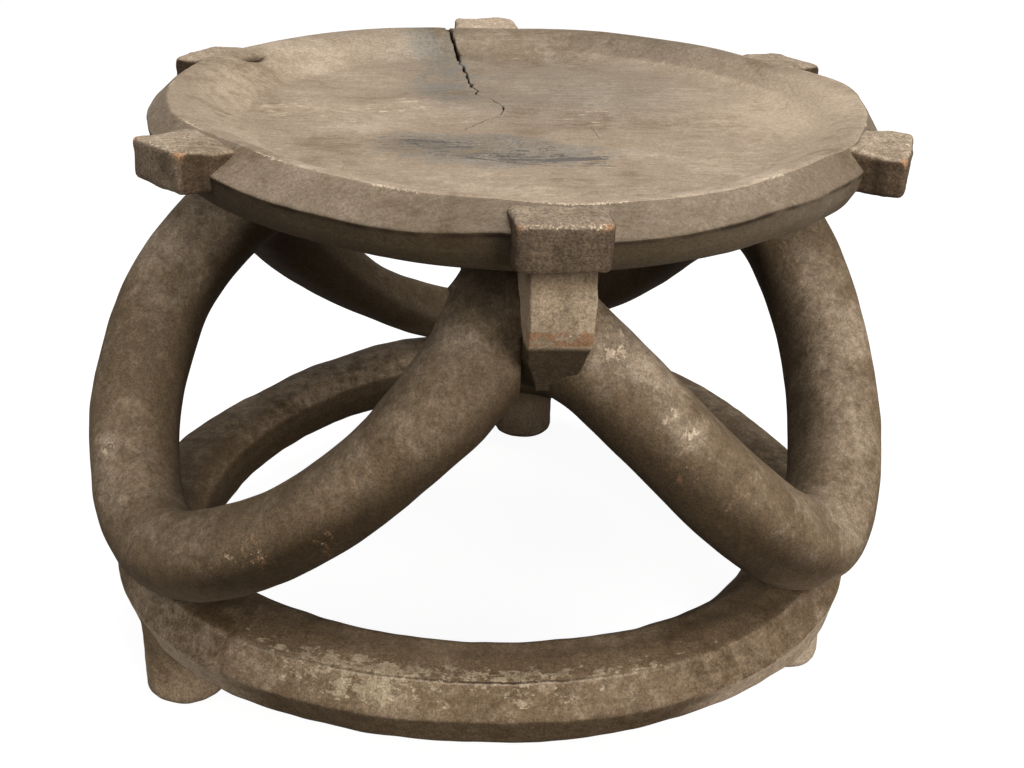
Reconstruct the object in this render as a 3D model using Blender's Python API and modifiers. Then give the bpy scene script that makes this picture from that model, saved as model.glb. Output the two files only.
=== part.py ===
"""A round stool carved from one block of wood.

A dished seat with six square blocks round its rim stands on three looping legs.
Each leg is a round bar that runs down from under the seat, bends in a U on a base
ring and climbs back to the seat.  Neighbouring loops meet in a V under every second
rim block, behind a square knuckle.  Three short round feet carry the base ring.
The seat sits a little to one side of the ring and leans by about a degree, as the
carver left it.  Metres, +Z up, the front knuckle towards -Y.
"""
import bmesh
import bpy
from math import atan2, cos, pi, radians, sin
from mathutils import Euler, Vector

# Clearance between solids that touch, and the distance within which points are one
GAP = 0.0003
WELD_DISTANCE = 0.00001

# Seat: a turned dish, slightly oval and three-cornered, measured from its rim's ridge
SEAT_RADIUS = 0.2393
SEAT_HEIGHT = 0.370
SEAT_SHIFT = 0.0195
SEAT_LEAN = radians(1.0)
SEAT_NOD = radians(0.3)
SEAT_OVAL_SHARE = 0.013
SEAT_CORNER_SHARE = 0.024
SEAT_CORNER_AZIMUTH = 26
RIM_RISE = 0.0130
RIM_SLOPE = 0.0135
CREST_WIDTH = 0.0100
DISH_WALL = 0.0150
DISH_DEPTH = 0.0180
DISH_SAG = 0.0030
EDGE_HEIGHT = 0.0188
EDGE_UNDERCUT = 0.0036
UNDERSIDE_INSET = 0.0493
UNDERSIDE_DEPTH = 0.040
SEAT_STEPS = 72

# Rim blocks: azimuth in degrees, then shares of how far they stand out of the rim and
# of their depth below its ridge
RIM_BLOCKS_AZIMUTH_AND_SHARES = {
    "front": (-90, 1.00, 1.00),
    "right": (-27, 1.00, 0.95),
    "back_right": (30, 1.30, 1.00),
    "back": (90, 1.00, 1.00),
    "back_left": (151, 1.22, 0.60),
    "left": (212, 1.00, 0.65),
}
BLOCK_OUTSET = 0.0172
BLOCK_WIDTH = 0.053
BLOCK_ABOVE = 0.0115
BLOCK_BELOW = 0.0158
BLOCK_ROUNDING = 0.0030

# Knuckles: wedges under every second rim block, as heights under the rim's ridge
KNUCKLES_AZIMUTH = {"front": -89, "back_right": 30, "back_left": 151}
KNUCKLE_WIDTH = 0.0355
KNUCKLE_INSET = 0.0043
KNUCKLE_DEPTH = 0.064
KNUCKLE_ROOT = 0.012
KNUCKLE_DROP = 0.058
KNUCKLE_BEVEL = 0.0070
KNUCKLE_KEEL_SETBACK = 0.032
KNUCKLE_KEEL_DROP = 0.104

# Base ring: a faceted bar bent into a rounded triangle
RING_RADIUS = 0.2328
RING_HALF_WIDTH = 0.034
RING_HALF_HEIGHT = 0.0255
RING_HEIGHT = 0.0654
RING_CORNER_SHARE = 0.040
RING_CORNER_AZIMUTH = 81
RING_STEPS = 72
# Section corners, out and up, as shares of the half width and half height
RING_SECTION_SHARES = (
    (0.05, 1.00),
    (0.52, 0.87),
    (0.97, 0.08),
    (0.80, -0.66),
    (0.35, -1.00),
    (-0.35, -1.00),
    (-0.86, -0.50),
    (-0.90, 0.35),
    (-0.55, 0.94),
)

# Legs: three loops of a round bar, each from one peak down to its valley and up again;
# above a peak the bar turns up a little and runs on into the seat
BAR_RADIUS = 0.030
BAR_SIDES_RESOLUTION = 4
BAR_CURVE_STEPS = 14
LEGS_SHIFT = (0.0106, -0.0038)
PEAK_INSET = 0.0763
PEAK_DROP = 0.062
VALLEY_OUTSET = 0.0232
VALLEY_SINK = 0.0030
PEAK_OVERRUN = 0.060
PEAK_RISE_SHARE = 0.70
# Where each bend lies: its azimuth, then its distance out and its bar's thickness as
# shares of what they are in a regular stool
PEAKS_AZIMUTH_AND_SHARES = {
    "front": (-93, 0.97, 0.97),
    "back_right": (23.5, 1.02, 1.06),
    "back_left": (153.5, 1.00, 1.12),
}
VALLEYS_AZIMUTH_AND_SHARES = {
    "right": (-34.7, 1.01, 1.05),
    "back": (90, 0.985, 0.81),
    "left": (207.5, 1.00, 0.96),
}
# How far each leg leaves its peak outwards, sideways and downwards, and its valley
# sideways, as shares of the reach
LEG_REACH = 0.100
LEG_REACH_SHARES = {
    ("front", "right"): (0.65, 0.69, 0.34, 0.64),
    ("front", "left"): (0.70, 0.50, 1.00, 0.72),
    ("back_right", "right"): (0.97, 0.37, 0.20, 0.97),
    ("back_left", "left"): (1.10, 0.64, 0.54, 0.89),
    ("back_right", "back"): (1.20, 0.20, 0.42, 1.00),
    ("back_left", "back"): (1.28, 0.33, 0.31, 0.81),
}
LOOPS = (
    ("leg_loop_right", "front", "right", "back_right"),
    ("leg_loop_back", "back_right", "back", "back_left"),
    ("leg_loop_left", "back_left", "left", "front"),
)

# Feet: short round stubs under the ring, near each valley, each with its azimuth and
# its inset from the ring's outer edge as a share of the foot's radius
FEET_AZIMUTH_AND_SHARES = {"left": (209, 0.04), "right": (332, 0.38), "back": (77, 0.18)}
FOOT_RADIUS = 0.0280
FOOT_FLARE = 0.0020
FOOT_ROUNDING = 0.0030
FOOT_SIDES = 20

# How far a leg runs into the seat before it is cut back to the seat's underside
SEAT_OVERLAP = 0.010

COLOURS = {
    "seat": (0.290, 0.235, 0.165),
    "rim_block": (0.235, 0.180, 0.125),
    "knuckle": (0.250, 0.200, 0.145),
    "leg_loop": (0.210, 0.165, 0.120),
    "base_ring": (0.200, 0.150, 0.105),
    "foot": (0.170, 0.130, 0.090),
}
WOOD_ROUGHNESS = 0.72


def clear_scene():
    for old in list(bpy.data.objects):
        bpy.data.objects.remove(old)


def new_collection(name):
    collection = bpy.data.collections.new(name)
    bpy.context.scene.collection.children.link(collection)
    return collection


def new_empty(name, location, turn, parent):
    empty = bpy.data.objects.new(name, None)
    empty.location = location
    empty.rotation_euler = turn
    empty.parent = parent
    solids.objects.link(empty)
    return empty


def wood(name, kind):
    """A dull carved wood of the given kind's colour."""
    material = bpy.data.materials.new(name)
    material.use_nodes = True
    shader = material.node_tree.nodes["Principled BSDF"]
    shader.inputs["Base Color"].default_value = (*COLOURS[kind], 1.0)
    shader.inputs["Roughness"].default_value = WOOD_ROUGHNESS
    shader.inputs["Metallic"].default_value = 0.0
    return material


def add_solid(name, mesh, kind, parent):
    mesh.name = name
    mesh.shade_smooth()
    mesh.set_sharp_from_angle(angle=radians(35))
    mesh.materials.clear()
    mesh.materials.append(wood(name, kind))
    solid = bpy.data.objects.new(name, mesh)
    solid.parent = parent
    solids.objects.link(solid)
    return solid


def add_cutter(name, mesh, parent):
    cutter = bpy.data.objects.new(name, mesh)
    cutter.parent = parent
    cutter.hide_render = True
    cutter.display_type = "WIRE"
    cutters.objects.link(cutter)
    return cutter


def cut(solid, cutter):
    boolean = solid.modifiers.new("cut by " + cutter.name, "BOOLEAN")
    boolean.operation = "DIFFERENCE"
    boolean.solver = "EXACT"
    boolean.object = cutter


def mesh_of(thing):
    """The evaluated mesh of an object, which is then removed."""
    bpy.context.view_layer.update()
    graph = bpy.context.evaluated_depsgraph_get()
    mesh = bpy.data.meshes.new_from_object(thing.evaluated_get(graph))
    bpy.data.objects.remove(thing)
    return mesh


def grown(mesh, distance):
    """A copy of a closed mesh with every face moved outwards by the distance."""
    shape = bmesh.new()
    shape.from_mesh(mesh)
    shape.normal_update()
    moves = [vertex.normal * vertex.calc_shell_factor() * distance for vertex in shape.verts]
    for vertex, move in zip(shape.verts, moves):
        vertex.co += move
    copy = bpy.data.meshes.new(mesh.name + "_grown")
    shape.to_mesh(copy)
    shape.free()
    return copy


def turned(name, profile, closed, steps):
    """A mesh turned about Z from (radius, height) points."""
    points = [(radius, 0, height) for radius, height in profile]
    edges = [(i, i + 1) for i in range(len(points) - 1)]
    if closed:
        edges.append((len(points) - 1, 0))
    mesh = bpy.data.meshes.new(name)
    mesh.from_pydata(points, edges, [])
    blank = bpy.data.objects.new(name, mesh)
    solids.objects.link(blank)
    screw = blank.modifiers.new("turn", "SCREW")
    screw.angle = 2 * pi
    screw.steps = steps
    screw.render_steps = steps
    screw.use_merge_vertices = True
    screw.merge_threshold = WELD_DISTANCE
    return mesh_of(blank)


def corner_scale(azimuth, share, corner, oval_share):
    """How much further out an oval, three-cornered outline lies at an azimuth in radians."""
    return 1 + share * cos(3 * (azimuth - corner)) + oval_share * cos(2 * azimuth)


def make_three_cornered(mesh, share, corner, oval_share):
    for vertex in mesh.vertices:
        scale = corner_scale(atan2(vertex.co.y, vertex.co.x), share, corner, oval_share)
        vertex.co.x *= scale
        vertex.co.y *= scale


def seat_mesh():
    """The dish from its middle out over the rim and back under to the middle."""
    crest_out = SEAT_RADIUS - RIM_SLOPE
    crest_in = crest_out - CREST_WIDTH
    floor_edge = crest_in - DISH_WALL
    floor_height = RIM_RISE - DISH_DEPTH
    profile = (
        (0, floor_height - DISH_SAG),
        (floor_edge / 2, floor_height - DISH_SAG * 3 / 4),
        (floor_edge, floor_height),
        (crest_in, RIM_RISE - CREST_WIDTH / 8),
        (crest_out, RIM_RISE),
        (SEAT_RADIUS, 0),
        (SEAT_RADIUS - EDGE_UNDERCUT, -EDGE_HEIGHT),
        (SEAT_RADIUS - UNDERSIDE_INSET, -UNDERSIDE_DEPTH),
        (0, -UNDERSIDE_DEPTH),
    )
    mesh = turned("seat", profile, False, SEAT_STEPS)
    make_three_cornered(mesh, SEAT_CORNER_SHARE, radians(SEAT_CORNER_AZIMUTH), SEAT_OVAL_SHARE)
    return mesh


def ring_mesh():
    profile = [
        (RING_RADIUS + out * RING_HALF_WIDTH, RING_HEIGHT + up * RING_HALF_HEIGHT)
        for out, up in RING_SECTION_SHARES
    ]
    mesh = turned("base_ring", profile, True, RING_STEPS)
    make_three_cornered(mesh, RING_CORNER_SHARE, radians(RING_CORNER_AZIMUTH), 0)
    return mesh


def extruded(name, outline, width):
    """A prism from an outline in X and Z, centred on Y."""
    shape = bmesh.new()
    near = [shape.verts.new((x, -width / 2, z)) for x, z in outline]
    face = shape.faces.new(near)
    swept = bmesh.ops.extrude_face_region(shape, geom=[face])
    far = [item for item in swept["geom"] if isinstance(item, bmesh.types.BMVert)]
    bmesh.ops.translate(shape, verts=far, vec=(0, width, 0))
    bmesh.ops.recalc_face_normals(shape, faces=shape.faces)
    mesh = bpy.data.meshes.new(name)
    shape.to_mesh(mesh)
    shape.free()
    return mesh


def rim_block(name, azimuth, outset_share, below_share):
    """A square block on the rim, its foot cut to the rim's two slopes."""
    root = SEAT_RADIUS - RIM_SLOPE
    reach = SEAT_RADIUS + BLOCK_OUTSET * outset_share
    below = BLOCK_BELOW * below_share
    outline = ((root, -below), (reach, -below), (reach, BLOCK_ABOVE), (root, BLOCK_ABOVE))
    block = add_solid("rim_block_" + name, extruded(name, outline, BLOCK_WIDTH), "rim_block", seat_frame)
    block.rotation_euler.z = radians(azimuth)
    bevel = block.modifiers.new("worn edges", "BEVEL")
    bevel.width = BLOCK_ROUNDING
    bevel.segments = 2
    cut(block, seat_cutter)


def knuckle(name, azimuth):
    """A square wedge between the seat and the V of two legs."""
    reach = SEAT_RADIUS - KNUCKLE_INSET
    back = reach - KNUCKLE_DEPTH
    outline = (
        (back, -KNUCKLE_DROP),
        (reach - KNUCKLE_KEEL_SETBACK, -KNUCKLE_KEEL_DROP),
        (reach - KNUCKLE_BEVEL, -KNUCKLE_DROP - KNUCKLE_BEVEL),
        (reach, -KNUCKLE_DROP),
        (reach, -KNUCKLE_ROOT),
        (back, -KNUCKLE_ROOT),
    )
    wedge = add_solid("knuckle_" + name, extruded(name, outline, KNUCKLE_WIDTH), "knuckle", seat_frame)
    wedge.rotation_euler.z = radians(azimuth)
    cut(wedge, seat_cutter)
    for cutter in leg_cutters[name]:
        cut(wedge, cutter)


def polar(radius, azimuth, height):
    return Vector((radius * cos(azimuth), radius * sin(azimuth), height))


def leg_points(peak, valley):
    """Peak, its handle, the valley's handle and the valley of one leg of a loop."""
    outwards, sideways, downwards, along = LEG_REACH_SHARES[(peak, valley)]
    peak_azimuth, peak_share, _ = PEAKS_AZIMUTH_AND_SHARES[peak]
    valley_azimuth, valley_share, bar_share = VALLEYS_AZIMUTH_AND_SHARES[valley]
    top = radians(peak_azimuth)
    low = radians(valley_azimuth)
    turn = 1 if sin(low - top) > 0 else -1
    peak_radius = (SEAT_RADIUS - PEAK_INSET) * peak_share
    start = Vector((*LEGS_SHIFT, 0)) + polar(peak_radius, top, SEAT_HEIGHT - PEAK_DROP)
    valley_height = RING_HEIGHT + RING_HALF_HEIGHT + BAR_RADIUS * bar_share - VALLEY_SINK
    end = polar((RING_RADIUS + VALLEY_OUTSET) * valley_share, low, valley_height)
    across_top = polar(1, top + turn * pi / 2, 0)
    across_low = polar(1, low - turn * pi / 2, 0)
    out_top = polar(1, top, 0)
    down = Vector((0, 0, -1))
    leave = (out_top * outwards + across_top * sideways + down * downwards) * LEG_REACH
    return start, start + leave, end + across_low * along * LEG_REACH, end


def lead_points(leg):
    """Where a leg runs on above its peak, up into the seat: a handle and an end."""
    back = (leg[0] - leg[1]).normalized()
    slant = (back + Vector((0, 0, PEAK_RISE_SHARE))).normalized()
    top = leg[0] + slant * PEAK_OVERRUN
    step = slant * PEAK_OVERRUN / 3
    return leg[0] + back * PEAK_OVERRUN / 3, (top - step, top, top + step)


def loop_mesh(name, first, valley, second, growth, mitre):
    """A round bar along one loop, mitred at both peaks and cut off inside the seat."""
    first_azimuth, _, first_share = PEAKS_AZIMUTH_AND_SHARES[first]
    second_azimuth, _, second_share = PEAKS_AZIMUTH_AND_SHARES[second]
    valley_share = VALLEYS_AZIMUTH_AND_SHARES[valley][2]
    down = leg_points(first, valley)
    up = leg_points(second, valley)
    first_shoulder, first_top = lead_points(down)
    second_shoulder, second_top = lead_points(up)
    stations = (
        (first_top[2], first_top[1], first_top[0]),
        (first_shoulder, down[0], down[1]),
        (down[2], down[3], up[2]),
        (up[1], up[0], second_shoulder),
        second_top,
    )
    curve = bpy.data.curves.new(name, "CURVE")
    curve.dimensions = "3D"
    curve.resolution_u = BAR_CURVE_STEPS
    curve.render_resolution_u = BAR_CURVE_STEPS
    curve.bevel_depth = 1
    curve.bevel_resolution = BAR_SIDES_RESOLUTION
    curve.use_fill_caps = True
    spline = curve.splines.new("BEZIER")
    spline.bezier_points.add(len(stations) - 1)
    shares = (first_share, first_share, valley_share, second_share, second_share)
    for point, share, (before, place, after) in zip(spline.bezier_points, shares, stations):
        point.radius = BAR_RADIUS * share + growth
        point.handle_left_type = "FREE"
        point.handle_right_type = "FREE"
        point.handle_left = before
        point.co = place
        point.handle_right = after
    bar = bpy.data.objects.new(name, curve)
    solids.objects.link(bar)
    mesh = mesh_of(bar)
    shape = bmesh.new()
    shape.from_mesh(mesh)
    bmesh.ops.remove_doubles(shape, verts=shape.verts, dist=WELD_DISTANCE)
    centre = Vector((*LEGS_SHIFT, 0))
    for azimuth, side in ((first_azimuth, -1), (second_azimuth, 1)):
        outside = polar(1, radians(azimuth) + side * pi / 2, 0)
        plane_cut(shape, centre - outside * mitre, outside)
    above = Euler((SEAT_NOD, SEAT_LEAN, 0)).to_matrix() @ Vector((0, 0, 1))
    seat_place = Vector((SEAT_SHIFT, 0, SEAT_HEIGHT))
    plane_cut(shape, seat_place + above * (SEAT_OVERLAP - UNDERSIDE_DEPTH), above)
    bmesh.ops.recalc_face_normals(shape, faces=shape.faces)
    shape.to_mesh(mesh)
    shape.free()
    return mesh


def plane_cut(shape, place, outside):
    """Cut a closed shape at a plane, drop what lies outside and close the cut."""
    everything = shape.verts[:] + shape.edges[:] + shape.faces[:]
    bmesh.ops.bisect_plane(
        shape, geom=everything, plane_co=place, plane_no=outside, clear_outer=True
    )
    open_edges = [edge for edge in shape.edges if edge.is_boundary]
    bmesh.ops.holes_fill(shape, edges=open_edges)


def foot(name, azimuth, inset_share):
    """A round stub that reaches up into the ring's middle and is cut to its underside."""
    corner = radians(RING_CORNER_AZIMUTH)
    ring_scale = corner_scale(radians(azimuth), RING_CORNER_SHARE, corner, 0)
    ring_edge = (RING_RADIUS + RING_HALF_WIDTH) * ring_scale
    shape = bmesh.new()
    bmesh.ops.create_cone(
        shape,
        cap_ends=True,
        segments=FOOT_SIDES,
        radius1=FOOT_RADIUS,
        radius2=FOOT_RADIUS - FOOT_FLARE,
        depth=RING_HEIGHT,
    )
    mesh = bpy.data.meshes.new(name)
    shape.to_mesh(mesh)
    shape.free()
    stub = add_solid("foot_" + name, mesh, "foot", stool)
    out = ring_edge - FOOT_RADIUS * (1 + inset_share)
    stub.location = polar(out, radians(azimuth), RING_HEIGHT / 2)
    bevel = stub.modifiers.new("worn edge", "BEVEL")
    bevel.width = FOOT_ROUNDING
    bevel.segments = 2
    bevel.limit_method = "ANGLE"
    bevel.angle_limit = radians(60)
    cut(stub, ring_cutter)


def centre_on_origin():
    """Move the whole stool so that its box is centred over the origin, on the floor."""
    bpy.context.view_layer.update()
    graph = bpy.context.evaluated_depsgraph_get()
    corners = []
    for solid in solids.objects:
        if solid.type == "MESH":
            shown = solid.evaluated_get(graph)
            corners += [shown.matrix_world @ vertex.co for vertex in shown.data.vertices]
    low = Vector([min(corner[axis] for corner in corners) for axis in range(3)])
    high = Vector([max(corner[axis] for corner in corners) for axis in range(3)])
    middle = (low + high) / 2
    stool.location = Vector((-middle.x, -middle.y, -low.z))
    print("shift", stool.location, "size", high - low)


clear_scene()
solids = new_collection("african_stool")
cutters = new_collection("cutters")
stool = new_empty("stool", (0, 0, 0), (0, 0, 0), None)
seat_frame = new_empty("seat_frame", (SEAT_SHIFT, 0, SEAT_HEIGHT), (SEAT_NOD, SEAT_LEAN, 0), stool)

seat = add_solid("seat", seat_mesh(), "seat", seat_frame)
seat_cutter = add_cutter("seat_cutter", grown(seat.data, GAP), seat_frame)
base_ring = add_solid("base_ring", ring_mesh(), "base_ring", stool)
ring_cutter = add_cutter("ring_cutter", grown(base_ring.data, GAP), stool)

leg_cutters = {name: [] for name in PEAKS_AZIMUTH_AND_SHARES}
for loop_name, first_peak, low_point, second_peak in LOOPS:
    route = (first_peak, low_point, second_peak)
    loop = add_solid(loop_name, loop_mesh(loop_name, *route, 0, GAP / 2), "leg_loop", stool)
    cut(loop, seat_cutter)
    cut(loop, ring_cutter)
    grown_loop = loop_mesh(loop_name + "_grown", *route, GAP, -GAP / 2)
    loop_cutter = add_cutter(loop_name + "_cutter", grown_loop, stool)
    leg_cutters[first_peak].append(loop_cutter)
    leg_cutters[second_peak].append(loop_cutter)

for block_name, block_place in RIM_BLOCKS_AZIMUTH_AND_SHARES.items():
    rim_block(block_name, *block_place)
for knuckle_name, knuckle_azimuth in KNUCKLES_AZIMUTH.items():
    knuckle(knuckle_name, knuckle_azimuth)
for foot_name, (foot_azimuth, foot_inset_share) in FEET_AZIMUTH_AND_SHARES.items():
    foot(foot_name, foot_azimuth, foot_inset_share)

centre_on_origin()
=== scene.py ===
from math import cos, pi, radians, sin

import bpy
import numpy as np
from mathutils import Matrix, Vector


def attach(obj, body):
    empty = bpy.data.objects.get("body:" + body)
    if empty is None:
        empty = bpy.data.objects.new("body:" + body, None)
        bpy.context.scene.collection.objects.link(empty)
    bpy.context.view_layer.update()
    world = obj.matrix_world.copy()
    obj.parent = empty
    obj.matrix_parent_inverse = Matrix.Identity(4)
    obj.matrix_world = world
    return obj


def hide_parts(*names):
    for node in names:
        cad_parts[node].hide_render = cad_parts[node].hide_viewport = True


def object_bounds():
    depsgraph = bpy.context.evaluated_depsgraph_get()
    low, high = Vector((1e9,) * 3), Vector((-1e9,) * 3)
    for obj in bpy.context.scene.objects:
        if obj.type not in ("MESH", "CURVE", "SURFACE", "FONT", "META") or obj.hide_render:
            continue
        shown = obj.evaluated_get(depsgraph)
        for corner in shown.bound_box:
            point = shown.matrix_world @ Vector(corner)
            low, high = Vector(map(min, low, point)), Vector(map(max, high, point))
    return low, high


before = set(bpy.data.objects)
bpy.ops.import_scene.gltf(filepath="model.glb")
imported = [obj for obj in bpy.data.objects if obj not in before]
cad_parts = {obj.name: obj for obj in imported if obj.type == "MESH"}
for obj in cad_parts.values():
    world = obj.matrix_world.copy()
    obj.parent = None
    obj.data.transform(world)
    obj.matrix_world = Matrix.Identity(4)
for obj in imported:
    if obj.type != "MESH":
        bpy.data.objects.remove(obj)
cad_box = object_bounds()

# A low round stool carved from one block of dark wood, by hand, and worn.  Metres, +Z up, with
# the front knuckle towards -Y.

# Seat: a shallow dish with a crest, an outer slope and an undercut edge, cut with an adze
# from the end of the block and polished by use.  It has a long drying crack from the back
# rim, a knot hole at the left and a blue-grey stain.

# Its middle, how far it nods and leans, and how oval and three-cornered its outline is
SEAT_PLACE = np.array([0.01976, -0.00960, 0.370])
SEAT_NOD = radians(0.3)
SEAT_LEAN = radians(1.0)
SEAT_OVAL_SHARE = 0.013
SEAT_CORNER_SHARE = 0.024
SEAT_CORNER_AZIMUTH = radians(26)
# Radius and height of each corner of the seat's section, and how far its rounding reaches
SEAT_SECTION = np.array([
    (0.0000, -0.0080, 0.000),
    (0.1000, -0.0073, 0.060),
    (0.1960, -0.0046, 0.014),
    (0.2130, 0.0105, 0.006),
    (0.2222, 0.0127, 0.002),
    (0.2262, 0.0122, 0.0012),
    (0.2393, 0.0000, 0.0012),
    (0.2357, -0.0188, 0.0018),
    (0.1900, -0.0400, 0.010),
    (0.0000, -0.0400, 0.000),
])
CREST_INNER, CREST_OUTER, RIDGE_RADIUS = SEAT_SECTION[4:7, 0]
EDGE_DROP = -SEAT_SECTION[7, 1]
# Rows between the breaks along the section, columns round it, and the holes left for its poles
SEAT_ROWS = (72, 20, 70, 22)
SEAT_BREAKS = (0.195, 0.2235, 0.2600)
SEAT_COLUMNS = 480
POLE_GAPS = (0.0015, 0.004)
# The dish's wall, and how far it is drawn in where it is gentlest
WALL_RADIUS = 0.196
WALL_REACH = 0.016
WALL_STEEP_AZIMUTH = radians(35)
WALL_EASE = 0.016
# Height, wavelength and seed of the unevenness that carving left on the floor, the rim and the
# slope, and how far the rim sinks
FLOOR_CARVING = [(0.0006, 0.070, 1)]
RIM_CARVING = [(0.0005, 0.110, 2)]
RIM_SINK = 0.0003
SLOPE_CARVING = [(0.0006, 0.070, 3), (0.00012, 0.016, 4)]
# The crack, from its inner end out to the rim, in the seat's own plane
CRACK = np.array([
    (-0.0091, 0.0137), (-0.0053, 0.0292), (-0.0064, 0.0449), (-0.0110, 0.0583),
    (-0.0194, 0.0719), (-0.0230, 0.1061), (-0.0252, 0.1321), (-0.0274, 0.1594),
    (-0.0295, 0.1883), (-0.0342, 0.2163), (-0.0355, 0.2600),
])
CRACK_HALF_WIDTH = 0.0014
CRACK_DEPTH = 0.0075
CRACK_STEPS = 90
CRACK_JAG = 0.0011
# Azimuth of the column that follows the crack, how far from it the columns bend with it, the
# close columns beside it, and where the even ones start
CRACK_AZIMUTH = radians(96.4)
CRACK_SWEEP = radians(60)
CLOSE_COLUMNS = radians(1) * np.array([0.0, 0.09, 0.19, 0.29, 0.42, 0.62, 0.95, 1.5, 2.3])
EVEN_COLUMNS_START = radians(3.1)
# A chip beside the crack's outer end: place, reach and depth
RIM_CHIP = ((-0.0325, 0.2220), 0.007, 0.0022)
# The knot's hollow: its place and the way it runs, half its length and width, and its depth
KNOT_PLACE = (-0.1816, 0.1124)
KNOT_WAY = (0.6, 0.8)
KNOT_REACH = (0.0100, 0.0036)
KNOT_DEPTH = 0.0042
# Azimuth in degrees, and how far out the crest wanders or how far down the ridge sags there
CREST_WANDER = (
    (0, 9, 20, 30, 45, 65, 195, 207, 217, 226, 237, 250, 262, 275, 318, 332, 345, 360),
    (0.0046, 0.0046, 0.0018, -0.0012, -0.0012, 0.0, 0.0, -0.0035, -0.0080,
     -0.0078, -0.0058, -0.0045, -0.0035, -0.0005, 0.0, 0.0036, 0.0038, 0.0048),
)
RIDGE_DROP = (
    (214, 226, 236, 244, 251, 257, 263, 268, 274, 287, 298),
    (0.0, 0.0008, 0.0016, 0.0018, 0.0012, -0.0004, -0.0022, 0.0, 0.0030, 0.0026, 0.0),
)
# Where the crest starts to lift off the dish, and bells of azimuth and reach in degrees and
# height: where the crest is higher, and where the whole rim bulges or is flatter
CREST_FOOT = 0.204
CREST_FOOT_WIDTH = 0.018
CREST_RISES = [(230, 34, 0.0014)]
RIM_BULGES = [(9, 10, 0.0050), (58, 22, -0.0016)]
# The stain's place, way and reach along and across, and two streaks in it: place and reach
# along, then across
STAIN_PLACE = (-0.018, -0.068)
STAIN_WAY = (0.985, -0.170)
STAIN_REACH = (0.080, 0.042)
STAIN_STREAKS = [(0.020, 0.060, -0.010, 0.014), (-0.045, 0.030, 0.006, 0.013)]
# Scuffed places in the dish: place, reach, how much shorter they are along Y, strength
SEAT_SCUFFS = [
    ((-0.135, 0.030), 0.055, 2.2, 1.0),
    ((-0.070, 0.045), 0.030, 1.7, 1.0),
    ((0.060, 0.015), 0.045, 1.3, 0.7),
]
# The line along which the crest is worn, and bells that make the slope, the edge below it and
# the dish's wall darker or lighter: azimuth, reach, share
WORN_CREST_RADIUS = 0.2255
SLOPE_SHADES = [(228, 26, -0.20), (180, 25, -0.26), (257, 14, 0.10)]
EDGE_SHADES = [(318, 26, -0.33)]
WALL_SHADES = [(50, 34, 0.46), (165, 30, 0.10)]


def ease(x):
    """A step from 0 to 1 that starts and ends level: three x squared less two x cubed."""
    x = np.clip(x, 0, 1)
    return x * x * (3 - 2 * x)


def hump(distance, reach):
    """A bell, 1 at no distance: e to the power of minus the square of distance over reach."""
    return np.exp(-((distance / reach) ** 2))


def ripple(points, wavelength, seed, waves=26):
    """Smooth random height with a spread of about 1: the sum of plane sine waves that run in
    random directions, with lengths from two thirds to one and a half of the wavelength."""
    draw = np.random.default_rng(seed)
    total = np.zeros(points.shape[:-1])
    for _ in range(waves):
        way = draw.normal(size=3)
        way *= 2 * pi / (wavelength * draw.uniform(0.66, 1.5) * np.linalg.norm(way))
        total += np.sin(points @ way + draw.uniform(0, 2 * pi))
    return total / (waves / 2) ** 0.5


def carving(points, layers, number=0):
    """The unevenness of hand-carved wood: each layer's height times a ripple of its wavelength
    and seed, added up."""
    return sum(height * ripple(points, wavelength, seed + number) for height, wavelength, seed in layers)


def soften(corners, reach, steps=7):
    """A line through the corners, each replaced by a parabola that leaves the straight
    that distance before the corner and joins the next one as far after it."""
    parts = [corners[:1]]
    t = np.linspace(0, 1, steps)[:, None]
    for before, corner, after, r in zip(corners[:-2], corners[1:-1], corners[2:], reach[1:-1]):
        start = corner + (before - corner) / np.linalg.norm(before - corner) * r
        end = corner + (after - corner) / np.linalg.norm(after - corner) * r
        parts.append((1 - t) ** 2 * start + 2 * t * (1 - t) * corner + t * t * end)
    parts.append(corners[-1:])
    return np.concatenate(parts)


def walked(line):
    """How far along the line each of its points is: the lengths of the steps before it, added."""
    steps = np.linalg.norm(np.diff(line, axis=0), axis=1)
    return np.concatenate([[0], np.cumsum(steps)])


def spread(line, stations):
    """The points of a line at the given distances along it, straight between its corners."""
    walk = walked(line)
    return np.stack([np.interp(stations, walk, line[:, axis]) for axis in range(line.shape[1])], -1)


def ring_normals(rings):
    """Outward or inward normals of a grid of closed rings: the cross product of the steps
    along a ring and from ring to ring."""
    along = np.roll(rings, -1, 1) - np.roll(rings, 1, 1)
    across = np.gradient(rings, axis=0)
    normal = np.cross(along, across)
    return normal / np.maximum(np.linalg.norm(normal, axis=-1, keepdims=True), 1e-12)


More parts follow.
